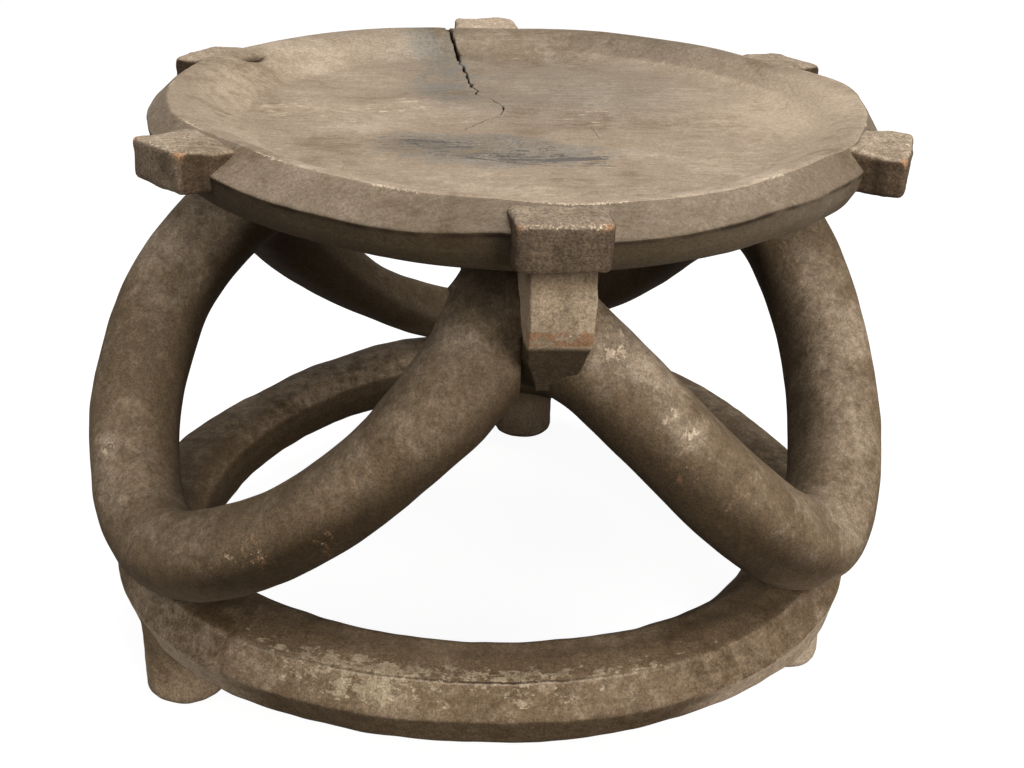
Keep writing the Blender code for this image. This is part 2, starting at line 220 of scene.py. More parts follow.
def surface(name, rings, marks, closed_path=False):
    """A closed mesh from a grid of rings, kept inside the box of the solids.  The first and
    last ring close on a point at their middle, or on each other.  Each mark, spread over the
    grid where it is one value, row or column, becomes an attribute of the points."""
    rows, columns = rings.shape[:2]
    points = np.clip(rings.reshape(-1, 3), *cad_box)
    index = np.arange(rows * columns).reshape(rows, columns)
    if closed_path:
        index = np.concatenate([index, index[:1]])
    near, far = index[:-1], index[1:]
    quads = np.stack([near, np.roll(near, -1, 1), np.roll(far, -1, 1), far], -1).reshape(-1, 4)
    faces = quads.tolist()
    if not closed_path:
        points = np.concatenate([points, rings[:1].mean(1), rings[-1:].mean(1)])
        first, last = rows * columns, rows * columns + 1
        start, end = index[0], index[-1]
        faces += np.stack([np.roll(start, -1), start, np.full(columns, first)], -1).tolist()
        faces += np.stack([end, np.roll(end, -1), np.full(columns, last)], -1).tolist()
    a, b, c, d = (points[quads[:, corner]] for corner in range(4))
    inside_out = np.einsum("ij,ij->", a, np.cross(b, c) + np.cross(c, d)) < 0
    if inside_out:
        faces = [face[::-1] for face in faces]
    mesh = bpy.data.meshes.new(name)
    mesh.from_pydata(points.tolist(), [], faces)
    for mark, values in marks.items():
        values = np.broadcast_to(values, (rows, columns))
        flat = values.reshape(-1)
        if not closed_path:
            flat = np.concatenate([flat, values[:1].mean(1), values[-1:].mean(1)])
        mesh.attributes.new(mark, "FLOAT", "POINT").data.foreach_set("value", flat)
    mesh.shade_smooth()
    piece = bpy.data.objects.new(name, mesh)
    bpy.context.scene.collection.objects.link(piece)
    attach(piece, "root")
    return piece


LEAN = np.array([[cos(SEAT_LEAN), 0, sin(SEAT_LEAN)], [0, 1, 0], [-sin(SEAT_LEAN), 0, cos(SEAT_LEAN)]])
NOD = np.array([[1, 0, 0], [0, cos(SEAT_NOD), -sin(SEAT_NOD)], [0, sin(SEAT_NOD), cos(SEAT_NOD)]])
SEAT_TILT = LEAN @ NOD


def tilted(points):
    """Points of the seat's own frame, turned by the nod and then the lean, plus its place."""
    return points @ SEAT_TILT.T + SEAT_PLACE


def seat_outline(azimuth):
    """How much further out the seat reaches at an azimuth: one, plus a cosine of twice the
    azimuth for the oval and one of three times the azimuth for the three corners."""
    corner = SEAT_CORNER_SHARE * np.cos(3 * (azimuth - SEAT_CORNER_AZIMUTH))
    return 1 + corner + SEAT_OVAL_SHARE * np.cos(2 * azimuth)


def seat_grid():
    """The seat as place in plan, radius, height and azimuth of each point, and the angle
    between it and the crack: the section turned about a middle that moves from the crack's
    inner end to the seat's middle, with columns bent so that one of them follows the crack."""
    line = soften(SEAT_SECTION[:, :2], SEAT_SECTION[:, 2])
    edges = (POLE_GAPS[0], *SEAT_BREAKS, walked(line)[-1] - POLE_GAPS[1])
    stations = [np.linspace(a, b, n, endpoint=False) for a, b, n in zip(edges[:-1], edges[1:], SEAT_ROWS)]
    section = spread(line, np.concatenate(stations))
    radius, height = section[:, :1], section[:, 1:]
    fine = np.concatenate([-CLOSE_COLUMNS[:0:-1], CLOSE_COLUMNS])
    coarse = np.linspace(EVEN_COLUMNS_START, 2 * pi - EVEN_COLUMNS_START, SEAT_COLUMNS)
    offset = np.concatenate([fine, coarse])
    offset = np.where(offset > pi, offset - 2 * pi, offset)
    share = ease(radius / (0.85 * RIDGE_RADIUS))
    middle = CRACK[0] * (1 - share)
    jag = np.linspace(0, 1, CRACK_STEPS)
    path = spread(CRACK, jag * walked(CRACK)[-1])
    draw = np.random.default_rng(5)
    path[:, 0] += np.repeat(draw.normal(0, CRACK_JAG, CRACK_STEPS // 2), 2) * ease(jag * 9)
    away = path[None] - middle[:, None]
    bearing = np.arctan2(away[..., 1], away[..., 0])
    reach = np.linalg.norm(away, axis=-1) / seat_outline(bearing)
    turn = np.array([np.interp(r, d, b) for r, d, b in zip(radius[:, 0], reach, bearing)])[:, None]
    sway = (turn - CRACK_AZIMUTH) * np.cos(np.clip(offset / CRACK_SWEEP, -1, 1) * pi / 2) ** 2
    azimuth = CRACK_AZIMUTH + offset + sway
    x = middle[:, :1] + radius * np.cos(azimuth) * seat_outline(azimuth)
    y = middle[:, 1:] + radius * np.sin(azimuth) * seat_outline(azimuth)
    return np.broadcast_arrays(x, y, radius, height, azimuth, offset)


x, y, radius, height, azimuth, offset = seat_grid()
bearing = np.degrees(azimuth) % 360


def by_azimuth(even, places):
    """An even value plus, for each place, its height times a bell of its reach round its
    azimuth, in degrees and the short way round."""
    total = even
    for degrees, reach, rise in places:
        apart = np.angle(np.exp(1j * (azimuth - radians(degrees))))
        total = total + rise * hump(apart, radians(reach))
    return total


def along_and_across(place, way):
    """How far each point of the seat lies from a place in plan along a direction, and how far
    to the left of it."""
    off_x, off_y = flat[..., 0] - place[0], flat[..., 1] - place[1]
    return off_x * way[0] + off_y * way[1], off_y * way[0] - off_x * way[1]


def plan_spot(place, reach, squeeze_x=1.0, squeeze_y=1.0):
    """A bell round a place in plan, with its reach divided by a squeeze along X and along Y."""
    off_x, off_y = flat[..., 0] - place[0], flat[..., 1] - place[1]
    return hump(np.hypot(off_x * squeeze_x, off_y * squeeze_y), reach)


# The upper side is the dish, the crest and the first rows of the slope.  The dish's wall is
# drawn in towards the middle, least at its steep side.
top_side = np.arange(len(radius))[:, None] < SEAT_ROWS[0] + SEAT_ROWS[1] + SEAT_ROWS[2] * 0.30
gentle = 0.5 - 0.5 * np.cos(azimuth - WALL_STEEP_AZIMUTH)
wall = hump(radius - WALL_RADIUS, WALL_REACH) * top_side * ease((CREST_INNER - radius) / 0.008)
squeeze = 1 - WALL_EASE * gentle * wall / np.maximum(radius, 0.02)
flat = np.stack([x * squeeze, y * squeeze, height], -1)

# The floor is uneven, the rim goes up and down, the crest wanders in and out and the ridge
# sags.  Each of these fades out towards the next form.
flat[..., 2] += top_side * ease((0.205 - radius) / 0.02) * carving(flat, FLOOR_CARVING)
flat[..., 2] += (carving(flat * (1, 1, 0), RIM_CARVING) - RIM_SINK) * ease((radius - 0.15) / 0.05)
slope_width = RIDGE_RADIUS - CREST_OUTER
ridge_share = np.where(height > 0, (radius - CREST_OUTER) / slope_width, 1 + height / EDGE_DROP)
ridge_share = ridge_share.clip(0, 1) * (radius > CREST_OUTER)
crest_middle = (CREST_INNER + CREST_OUTER) / 2
crest_share = np.where(
    radius < crest_middle, (radius - CREST_FOOT) / CREST_FOOT_WIDTH, (RIDGE_RADIUS - radius) / slope_width,
).clip(0, 1) * (height > -0.0001)
flat[..., 2] += by_azimuth(0, CREST_RISES) * crest_share
flat[..., 2] -= np.interp(bearing, *RIDGE_DROP) * ridge_share
outer = ease((radius - 0.212) / 0.01)
push = (carving(flat, SLOPE_CARVING) + by_azimuth(0, RIM_BULGES)) * outer
push += np.interp(bearing, *CREST_WANDER) * crest_share
flat[..., 0] += push * np.cos(azimuth)
flat[..., 1] += push * np.sin(azimuth)

# The crack is ragged all along, and widens and deepens from its inner end to the rim, where
# the wood beside it is chipped.  The knot's hollow is an oval bell.
crack_half = CRACK_HALF_WIDTH * (0.28 + 0.72 * (radius / 0.22) ** 1.3) * (1 + 0.35 * ripple(flat, 0.012, 8))
crack_share = np.clip(1 - np.abs(offset) * radius / np.maximum(crack_half, 0.0003), 0, 1) ** 0.5
crack_share = crack_share * top_side * ease((radius - 0.002) / 0.010)
flat[..., 2] -= crack_share * CRACK_DEPTH * (0.35 + 0.65 * ease((radius - 0.03) / 0.12))
flat[..., 2] -= RIM_CHIP[2] * plan_spot(*RIM_CHIP[:2]) * top_side
knot_along, knot_across = along_and_across(KNOT_PLACE, KNOT_WAY)
knot = hump(knot_along, KNOT_REACH[0]) * hump(knot_across, KNOT_REACH[1]) * top_side
flat[..., 2] -= KNOT_DEPTH * knot

# The stain in front of the middle with its streaks, and a second one along the crack
plan_x, plan_y = flat[..., 0], flat[..., 1]
stain_x, stain_y = along_and_across(STAIN_PLACE, STAIN_WAY)
stain = hump(stain_x, STAIN_REACH[0]) * hump(stain_y, STAIN_REACH[1])
streak = sum(hump(stain_x - at, far) * hump(stain_y - off, wide) for at, far, off, wide in STAIN_STREAKS)
patch = hump(plan_x + 0.040 + 0.06 * (plan_y - 0.12), 0.034) * ease((plan_y - 0.02) / 0.03)
# The pale right end of the dish and its pale edge, partly painted light, the scuffs, the dull
# back right of the dish, and painted shade on the back rim
tan_and_painted_light = plan_spot((0.185, 0.012), 0.075) + 0.6 * hump(radius - 0.205, 0.012)
scuff = sum(share * plan_spot(place, reach, 1.0, short) for place, reach, short, share in SEAT_SCUFFS)
haze_and_painted_shade = plan_spot((0.055, 0.075), 0.105, 0.8) * (1 - 0.6 * tan_and_painted_light.clip(0, 1))
haze_and_painted_shade += 0.5 * hump(plan_y - 0.190, 0.050)
# The crest's worn line with its chips and painted glints, painted shade under the ridge, and
# painted shade on the wall, the slope and the edge
crest_wear = hump(radius - WORN_CREST_RADIUS, 0.0016) * top_side * (radius > 0.2)
crest_chips_and_glints = 0.3 + 0.6 * ripple(flat, 0.05, 7) + 0.8 * by_azimuth(0, [(245, 3.5, 1)])
under_ridge = hump(height + 0.0016, 0.0014) * np.clip(0.8 + 0.5 * ripple(flat, 0.02, 9), 0, 1.4)
wall_shade = by_azimuth(0, WALL_SHADES) * ease((radius - 0.198) / 0.004) * ease((0.224 - radius) / 0.003)
side_shade = np.where(height > -0.0005, by_azimuth(0.58, SLOPE_SHADES), by_azimuth(1.00, EDGE_SHADES))
# Orange wood shows round the knot's slit and on the crack's lips
knot_rub = 0.65 * hump(knot_along, 0.014) * hump(knot_across, 0.007)
lip_rub = 0.40 * hump(crack_share - 0.22, 0.16) * (crack_share > 0)
seat_marks = {
    # Dull haze at the back right, and painted shade on the back rim
    "haze_and_painted_shade": np.clip(haze_and_painted_shade + 0.3 * patch, 0, 1) * top_side,
    "stain": np.clip(stain * 1.3 + patch * 0.75, 0, 1) * top_side,
    "streak": np.clip(streak, 0, 1) * top_side,
    # Pale: the scuffs, the right end, which is partly painted light, and painted light along the front
    "pale": np.clip(tan_and_painted_light * 0.75 + scuff * 0.36 + 0.35 * hump(plan_y + 0.185, 0.050), 0, 1) * top_side,
    "dash": np.clip(scuff, 0, 1) * top_side,
    "rub": (knot_rub + lip_rub) * top_side,
    "glint": crest_wear * np.clip(crest_chips_and_glints, 0, 1.2),
    # Painted shade in the crack, in the knot's hollow and under the ridge
    "painted_shade_and_grime": np.clip(crack_share * 3.6 - 0.3, 0, 1)
    + np.clip(knot * 1.3 - 0.15, 0, 1) * (crack_share < 0.01) + 0.62 * under_ridge * (radius > 0.23),
    "shade": np.where(top_side & (radius < WORN_CREST_RADIUS), wall_shade, side_shade),
}
seat = surface("seat_carved", tilted(flat), seat_marks)
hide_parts("seat")


def node(tree, kind, settings=None, **values):
    """A shader node with its settings and with each named input set or linked."""
    made = tree.nodes.new("ShaderNode" + kind)
    for key, value in (settings or {}).items():
        setattr(made, key, value)
    for key, value in values.items():
        place = made.inputs[int(key[1:]) if key[1:].isdigit() else key.replace("_", " ")]
        if isinstance(value, bpy.types.NodeSocket):
            tree.links.new(value, place)
        else:
            place.default_value = value
    return made


def noise(tree, where, scale, detail=5.0, roughness=0.6, twist=0.0):
    """Noise about one half: octaves whose strength falls by the roughness each time."""
    made = node(
        tree, "TexNoise", Vector=where, Scale=scale, Detail=detail, Roughness=roughness, Distortion=twist,
    )
    return made.outputs[0]


def step(tree, value, low, high, bottom=0.0, top=1.0):
    """A smooth step of a value from bottom, at low, to top, at high."""
    settings = {"interpolation_type": "SMOOTHSTEP"}
    made = node(tree, "MapRange", settings, i0=value, i1=low, i2=high, i3=bottom, i4=top)
    return made.outputs[0]


def times(tree, first, second):
    """Two values multiplied."""
    return node(tree, "Math", {"operation": "MULTIPLY"}, i0=first, i1=second).outputs[0]


def distance(tree, value):
    """How far a value is from nought: the value without its sign."""
    return node(tree, "Math", {"operation": "ABSOLUTE"}, i0=value).outputs[0]


def blend(tree, share, under, over, way="MIX"):
    """One colour over another by a share: under times one less the share, plus over, or to
    multiply the product of both, times the share."""
    under, over = ((*colour, 1) if isinstance(colour, tuple) else colour for colour in (under, over))
    made = node(tree, "Mix", {"data_type": "RGBA", "blend_type": way}, i0=share, i6=under, i7=over)
    return made.outputs[2]


def mark(tree, name):
    """The mark of that name stored on the points, 0 where a piece has none."""
    return node(tree, "Attribute", {"attribute_name": name}).outputs["Fac"]


def mixture(tree, *parts):
    """The sum of values, each times its share."""
    total = 0.0
    for value, share in parts:
        total = node(tree, "Math", {"operation": "MULTIPLY_ADD"}, i0=value, i1=share, i2=total).outputs[0]
    return total


def scratch(tree, place, start, end, half_width, strength):
    """The share of a thin ragged line from a start to an end in plan: near the line along X
    once the place is turned so that the line lies there, and between its two ends."""
    length = float(np.hypot(end[0] - start[0], end[1] - start[1]))
    turn = float(np.arctan2(end[1] - start[1], end[0] - start[0]))
    ragged = noise(tree, place, 260.0, 4.0, 0.7)
    turned = {"Location": (*start, 0), "Rotation": (0, 0, turn)}
    laid = node(tree, "Mapping", {"vector_type": "TEXTURE"}, Vector=place, **turned).outputs[0]
    along, off, _ = node(tree, "SeparateXYZ", i0=laid).outputs
    off = distance(tree, mixture(tree, (off, 1.0), (ragged, STROKE_WAVER), (1.0, -STROKE_WAVER / 2)))
    near = step(tree, off, half_width, half_width * 0.4, 0.0, strength)
    ends = times(tree, step(tree, along, -0.002, 0.001), step(tree, along, length + 0.002, length - 0.006))
    return times(tree, near, ends)


# How far a stroke wanders, where the flaked film breaks, how far from the painted line of shade
# its pale lip lies, and from where to where that line fades out
STROKE_WAVER = 0.006
PEEL_BREAK = (0.618, 0.626)
SHADE_LINE_LIP = 0.0013
SHADE_LINE_FADE = (0.0010, 0.0003)
# Colours of the marks: scuffed wood and painted light and the dashes on it, what haze with
# painted shade and stain leave of a colour, streaks and cracks in the stain, strokes, the painted
# line of shade under a ridge, bare wood under the film, rubbed edges, chips with painted glints,
# dust, and dirt with painted shade
SCUFFED_AND_LIT = (0.500, 0.395, 0.290)
DASHED = (0.600, 0.475, 0.345)
HAZE_AND_SHADE_TINT = (0.75, 0.78, 0.80)
STAIN_TINT = (0.73, 0.80, 0.89)
STREAKED = (0.070, 0.068, 0.066)
STAIN_CRACKED = (0.060, 0.055, 0.050)
STROKE = (0.040, 0.032, 0.024)
RIDGE_SHADE_LINE = (0.040, 0.026, 0.014)
BARE_DARK = (0.340, 0.262, 0.172)
BARE_LIGHT = (0.490, 0.395, 0.268)
RUBBED = (0.360, 0.195, 0.105)
CHIPS_AND_GLINTS = (0.62, 0.52, 0.38)
DUST = (0.66, 0.58, 0.46)
DIRT_AND_SHADE = (0.022, 0.012, 0.006)


def carved_wood(name, tones, grain, seed, polish=0.60, mottle=1.0, relief=1.0, speckle=1.0,
                dash_scale=(0.28, 1.0, 1.0), dash_level=0.61, strokes=(), seam=None):
    """Old carved wood in four tones, from its deep shade to its light: mottled brown under fine
    fibres and pores, paler where it is scuffed or given painted light, blue-grey where it is
    stained, orange where an edge is rubbed bare, with bright chips and painted glints, and darker
    with painted shade in cracks, corners and shaded sides.  Each layer adds up noises and a
    mark, each times its share, and lays its colour over the rest by a smooth step of that sum.
    The grain stretches the fibres along one axis."""
    deep, dark, middle, light = tones
    material = bpy.data.materials.new(name)
    material.use_nodes = True
    tree = material.node_tree
    shader = tree.nodes["Principled BSDF"]
    place = node(tree, "TexCoord").outputs["Object"]
    where = node(tree, "Mapping", Vector=place, Location=(seed * 3.7, seed * 1.9, seed * 2.3)).outputs[0]
    fibres = node(tree, "Mapping", Vector=where, Scale=grain).outputs[0]
    # Noises from wide patches to grit, two of them drawn out along the fibres
    wide = noise(tree, where, 9.0, 4.0, 0.55, 0.5)
    cloud = noise(tree, where, 34.0, 6.0, 0.62, 0.9)
    fleck = noise(tree, where, 150.0, 6.0, 0.68, 0.4)
    fibre = noise(tree, fibres, 22.0, 5.0, 0.62, 0.6)
    hair = noise(tree, fibres, 75.0, 4.0, 0.70, 0.2)
    speck = noise(tree, where, 380.0, 3.0, 0.7)
    grit = noise(tree, where, 760.0, 3.0, 0.75)
    # Mottled base
    tone = mixture(tree, (wide, 0.38), (cloud, 0.24), (fleck, 0.18), (fibre, 0.20))
    colour = blend(tree, step(tree, tone, 0.5 - 0.11 * mottle, 0.5), dark, middle)
    colour = blend(tree, step(tree, tone, 0.5, 0.5 + 0.11 * mottle), colour, light)
    # Scuffed places and painted light, with short pale dashes on them
    ragged = mixture(tree, (cloud, 0.5), (fleck, 0.5))
    worn_and_lit = mixture(tree, (mark(tree, "pale"), 1.0), (ragged, 1.6), (1.0, -0.80))
    colour = blend(tree, step(tree, worn_and_lit, 0.10, 1.00, 0.0, 0.88), colour, SCUFFED_AND_LIT)
    short = node(tree, "Mapping", Vector=where, Scale=dash_scale).outputs[0]
    dash = step(tree, noise(tree, short, 170.0, 5.0, 0.7, 0.3), dash_level, dash_level + 0.02)
    dash = mixture(tree, (dash, 1.0), (mark(tree, "dash"), 1.0), (1.0, -1.0))
    colour = blend(tree, step(tree, dash, 0.20, 0.60, 0.0, 0.85), colour, DASHED)
    # Dull haze and painted shade, then a blue-grey stain with dark streaks
    haze_and_shade_share = mixture(tree, (mark(tree, "haze_and_painted_shade"), 1.0), (ragged, 1.2), (1.0, -0.60))
    hazed_and_shaded = blend(tree, 1.0, colour, HAZE_AND_SHADE_TINT, "MULTIPLY")
    colour = blend(tree, step(tree, haze_and_shade_share, 0.10, 1.00), colour, hazed_and_shaded)
    edge = mixture(tree, (mark(tree, "stain"), 1.0), (cloud, 1.7), (fibre, 0.9), (1.0, -1.58))
    stained = blend(tree, 1.0, colour, STAIN_TINT, "MULTIPLY")
    inside = step(tree, mark(tree, "stain"), 0.03, 0.20)
    colour = blend(tree, times(tree, step(tree, edge, 0.16, 0.60), inside), colour, stained)
    smear = mixture(tree, (mark(tree, "streak"), 0.75), (fibre, 4.0), (fleck, 2.2), (1.0, -3.05))
    streaked = step(tree, mark(tree, "streak"), 0.05, 0.30, 0.0, 0.72)
    colour = blend(tree, times(tree, step(tree, smear, 0.62, 0.80), streaked), colour, STREAKED)
    # Film flaked off in patches, laid out by how far along and across the piece a point is
    film = node(tree, "CombineXYZ", i0=mark(tree, "along"), i1=mark(tree, "across"), i2=0.0).outputs[0]
    large = noise(tree, film, 26.0, 4.0, 0.6, 0.5)
    small = noise(tree, film, 190.0, 6.0, 0.70, 0.3)
    peel = mixture(tree, (large, 0.34), (small, 0.68), (mark(tree, "flake"), 0.145))
    flake = times(tree, step(tree, peel, *PEEL_BREAK), step(tree, mark(tree, "flake"), 0.05, 0.25))
    bare = blend(tree, step(tree, fleck, 0.40, 0.62), BARE_DARK, BARE_LIGHT)
    colour = blend(tree, times(tree, flake, 0.85), colour, bare)
    # Fine cracks in the stain, single strokes, and a wandering painted line of shade under a ridge, with a
    # pale lip
    line = distance(tree, mixture(tree, (wide, 0.4), (cloud, 0.6), (1.0, -0.5)))
    line_share = times(tree, step(tree, edge, 0.35, 0.80, 0.0, 0.7), inside)
    colour = blend(tree, times(tree, step(tree, line, 0.006, 0.002), line_share), colour, STAIN_CRACKED)
    for stroke in strokes:
        colour = blend(tree, scratch(tree, place, *stroke), colour, STROKE)
    if seam is not None:
        apart = mixture(tree, (mark(tree, "across"), 1.0), (cloud, 0.0030), (1.0, -0.0015 - seam))
        shade_line = step(tree, distance(tree, apart), *SHADE_LINE_FADE)
        lip = distance(tree, mixture(tree, (apart, 1.0), (1.0, -SHADE_LINE_LIP)))
        lip = step(tree, lip, *SHADE_LINE_FADE, 0.0, 0.45)
        colour = blend(tree, times(tree, lip, mark(tree, "painted_ridge_shade")), colour, SCUFFED_AND_LIT)
        colour = blend(tree, times(tree, shade_line, mark(tree, "painted_ridge_shade")), colour, RIDGE_SHADE_LINE)
    # Painted shade on undersides and shaded sides, rubbed edges, and tiny bright chips and painted glints
    colour = blend(tree, times(tree, mark(tree, "shade"), 0.92), colour, deep)
    rubbed = mixture(tree, (mark(tree, "rub"), 1.0), (fleck, 1.5), (cloud, 0.8), (1.0, -1.15))
    colour = blend(tree, step(tree, rubbed, 0.35, 0.85, 0.0, 0.85), colour, RUBBED)
    chips = mixture(tree, (mark(tree, "glint"), 0.5), (grit, 1.0), (fleck, 0.6))
    colour = blend(tree, step(tree, chips, 1.30, 1.40, 0.0, 0.7), colour, CHIPS_AND_GLINTS)
    # Fine fibres, pores and grit, each a factor about one, then specks of dust, and dirt with painted shade
    pores = step(tree, speck, 0.28, 0.72, 1 - 0.18 * speckle, 1 + 0.18 * speckle)
    grains = step(tree, grit, 0.25, 0.75, 1 - 0.26 * speckle, 1 + 0.26 * speckle)
    for factor in (step(tree, hair, 0.28, 0.72, 0.86, 1.13), pores, grains):
        colour = blend(tree, 1.0, colour, factor, "MULTIPLY")
    dots = node(tree, "TexVoronoi", Vector=where, Scale=70.0)
    few = step(tree, dots.outputs["Color"], 0.90, 0.91)
    dust = times(tree, step(tree, dots.outputs["Distance"], 0.065, 0.035), few)
    colour = blend(tree, times(tree, dust, 0.8), colour, DUST)
    # Painted shade in crevices, under ledges and where parts meet, with some dirt
    colour = blend(tree, mark(tree, "painted_shade_and_grime"), colour, DIRT_AND_SHADE)
    # A dull surface with very little sheen, and fine relief
    tree.links.new(colour, shader.inputs["Base Color"])
    tree.links.new(mixture(tree, (cloud, 0.30), (1.0, polish - 0.15)), shader.inputs["Roughness"])
    for socket, value in (("Specular IOR Level", 0.14), ("Sheen Weight", 0.02), ("Sheen Roughness", 0.45)):
        shader.inputs[socket].default_value = value
    fine = mixture(
        tree, (cloud, 0.22), (fleck, 0.40), (hair, 0.22), (speck, 0.22), (grit, 0.20), (flake, 0.06),
    )
    bump = node(tree, "Bump", Strength=0.40 * relief, Distance=0.0024, Height=fine)
    tree.links.new(bump.outputs[0], shader.inputs["Normal"])
    return material


# The crack's tail, cracks in the stain, a curved nick and the knot's slit: start and end in
# plan, half width and darkness
SEAT_STROKES = [
    ((0.0112, 0.0040), (0.0020, -0.0020), 0.0006, 0.75),
    ((0.0020, -0.0020), (-0.0180, -0.0285), 0.0007, 0.70),
    ((-0.0210, -0.0905), (0.0018, -0.0985), 0.0008, 0.80),
    ((0.0018, -0.0985), (0.0366, -0.1149), 0.0008, 0.85),
    ((0.0400, -0.1120), (0.0738, -0.1110), 0.0007, 0.60),
    ((-0.0552, -0.0563), (-0.0402, -0.0782), 0.0007, 0.65),
    ((0.0692, -0.0189), (0.0707, -0.0529), 0.0006, 0.60),
    ((-0.1690, 0.0930), (-0.1545, 0.1125), 0.0013, 0.95),
]
# Shade, dark, middle and light tone of the seat's wood, and how much finer its fibres are along
# each axis: they run along X
SEAT_TONES = [(0.044, 0.029, 0.013), (0.240, 0.176, 0.116), (0.342, 0.265, 0.192), (0.445, 0.355, 0.267)]
SEAT_GRAIN = (1.0, 13.0, 13.0)
seat.data.materials.append(carved_wood(
    "seat_wood", SEAT_TONES, SEAT_GRAIN, 1, mottle=0.9, speckle=0.6, dash_level=0.585, strokes=SEAT_STROKES,
))

# Rim lugs: six square blocks left standing round the rim, one over each leg bend and each
# knuckle.  Handling has rounded their corners and rubbed the upper outer edges bare.

# Azimuth in degrees, shares of how far they stand out and of their depth below, how much
# their corners are rubbed, how much higher their outer end is, its skew and roll, and how
# far in over the rim their top runs
LUGS = {
    "front": (-90, 1.00, 1.00, 0.2, 0.0, 0.0, 0.0, 0.0),
    "right": (-27, 1.05, 0.95, 0.8, 0.0002, -0.066, 0.0022, 0.0040),
    "back_right": (29.0, 1.58, 1.00, 0.4, -0.0014, 0.0, 0.0, 0.0),
    "back": (90.6, 1.00, 1.00, 0.3, 0.0022, 0.0, 0.0, 0.0),
    "back_left": (151, 1.22, 0.60, 0.6, -0.0012, 0.0, 0.0, 0.0),
    "left": (212, 0.90, 0.65, 1.0, 0.0044, -0.126, 0.0010, 0.0085),
}
LUG_ROOT = 0.2175
LUG_OUTSET = 0.0172
LUG_HALF_WIDTH = 0.0265
LUG_ABOVE = 0.0118
LUG_BELOW = 0.0158
LUG_ROUNDING = 0.0045
# How high the top starts at the root, how far it falls under its full height, and how much
# narrower a lug is at its outer end
LUG_ROOT_HEIGHT = 0.0040
LUG_TOP_FALL = 0.0010
LUG_TAPER = 0.06
LUG_CARVING = [(0.00035, 0.030, 10), (0.00012, 0.007, 20)]
# How pale a lug's top is, how much painted shade its top and its sides get, and how much less of it its end
# face gets
LUG_LOOKS = {
    "front": (0.10, 0.30, 0.97, 0.17),
    "right": (0.40, 0.05, 0.88, 0.17),
    "back_right": (0.40, 0.05, 0.97, 0.17),
    "back": (0.75, 0.05, 0.97, 0.17),
    "back_left": (0.40, 0.05, 0.97, 0.17),
    "left": (0.40, 0.05, 0.97, 0.58),
}
LUG_TONES = [(0.058, 0.034, 0.016), (0.225, 0.165, 0.107), (0.320, 0.248, 0.178), (0.410, 0.326, 0.243)]


def prism(outline, half_width, rounding, columns=84, across=16, steps=6, shrink=9):
    """A block with a closed outline in X and Z and rounded long edges, as rings from one side
    face to the other: each ring is the outline drawn in towards its middle, by a quarter
    circle near the sides and then evenly down to a point."""
    closed = np.concatenate([outline, outline[:1]])
    loop = spread(closed, np.linspace(0, 1, columns, endpoint=False) * walked(closed)[-1])
    middle = loop.mean(0)
    size = np.linalg.norm(loop - middle, axis=1, keepdims=True)
    turn = np.linspace(0, pi / 2, steps)
    inset = rounding * (1 - np.sin(turn))
    place = -half_width + rounding * (1 - np.cos(turn))
    faces = np.linspace(0.04, 1, shrink, endpoint=False)
    sides = [(middle + (loop - middle) * (1 - rounding / size) * f, -half_width) for f in faces]
    bends = [(middle + (loop - middle) * (1 - i / size), p) for i, p in zip(inset, place)]
    straight = np.linspace(-half_width + rounding, half_width - rounding, across)[1:-1]
    runs = sides + bends + [(loop, y) for y in straight]
    runs += [(shape, -y) for shape, y in bends[::-1]] + [(shape, -y) for shape, y in sides[::-1]]
    return np.stack([np.stack([shape[:, 0], np.full(columns, y), shape[:, 1]], -1) for shape, y in runs])


def about_z(points, degrees):
    """Points turned about the Z axis: X times the cosine less Y times the sine, and X times
    the sine plus Y times the cosine."""
    c, s = cos(radians(degrees)), sin(radians(degrees))
    return points @ np.array([[c, s, 0], [-s, c, 0], [0, 0, 1]])


def outward(rings):
    """Normals of a block's rings, each turned to point away from the block's middle."""
    normal = ring_normals(rings)
    return normal * np.sign(np.sum(normal * (rings - rings.mean((0, 1))), -1, keepdims=True))


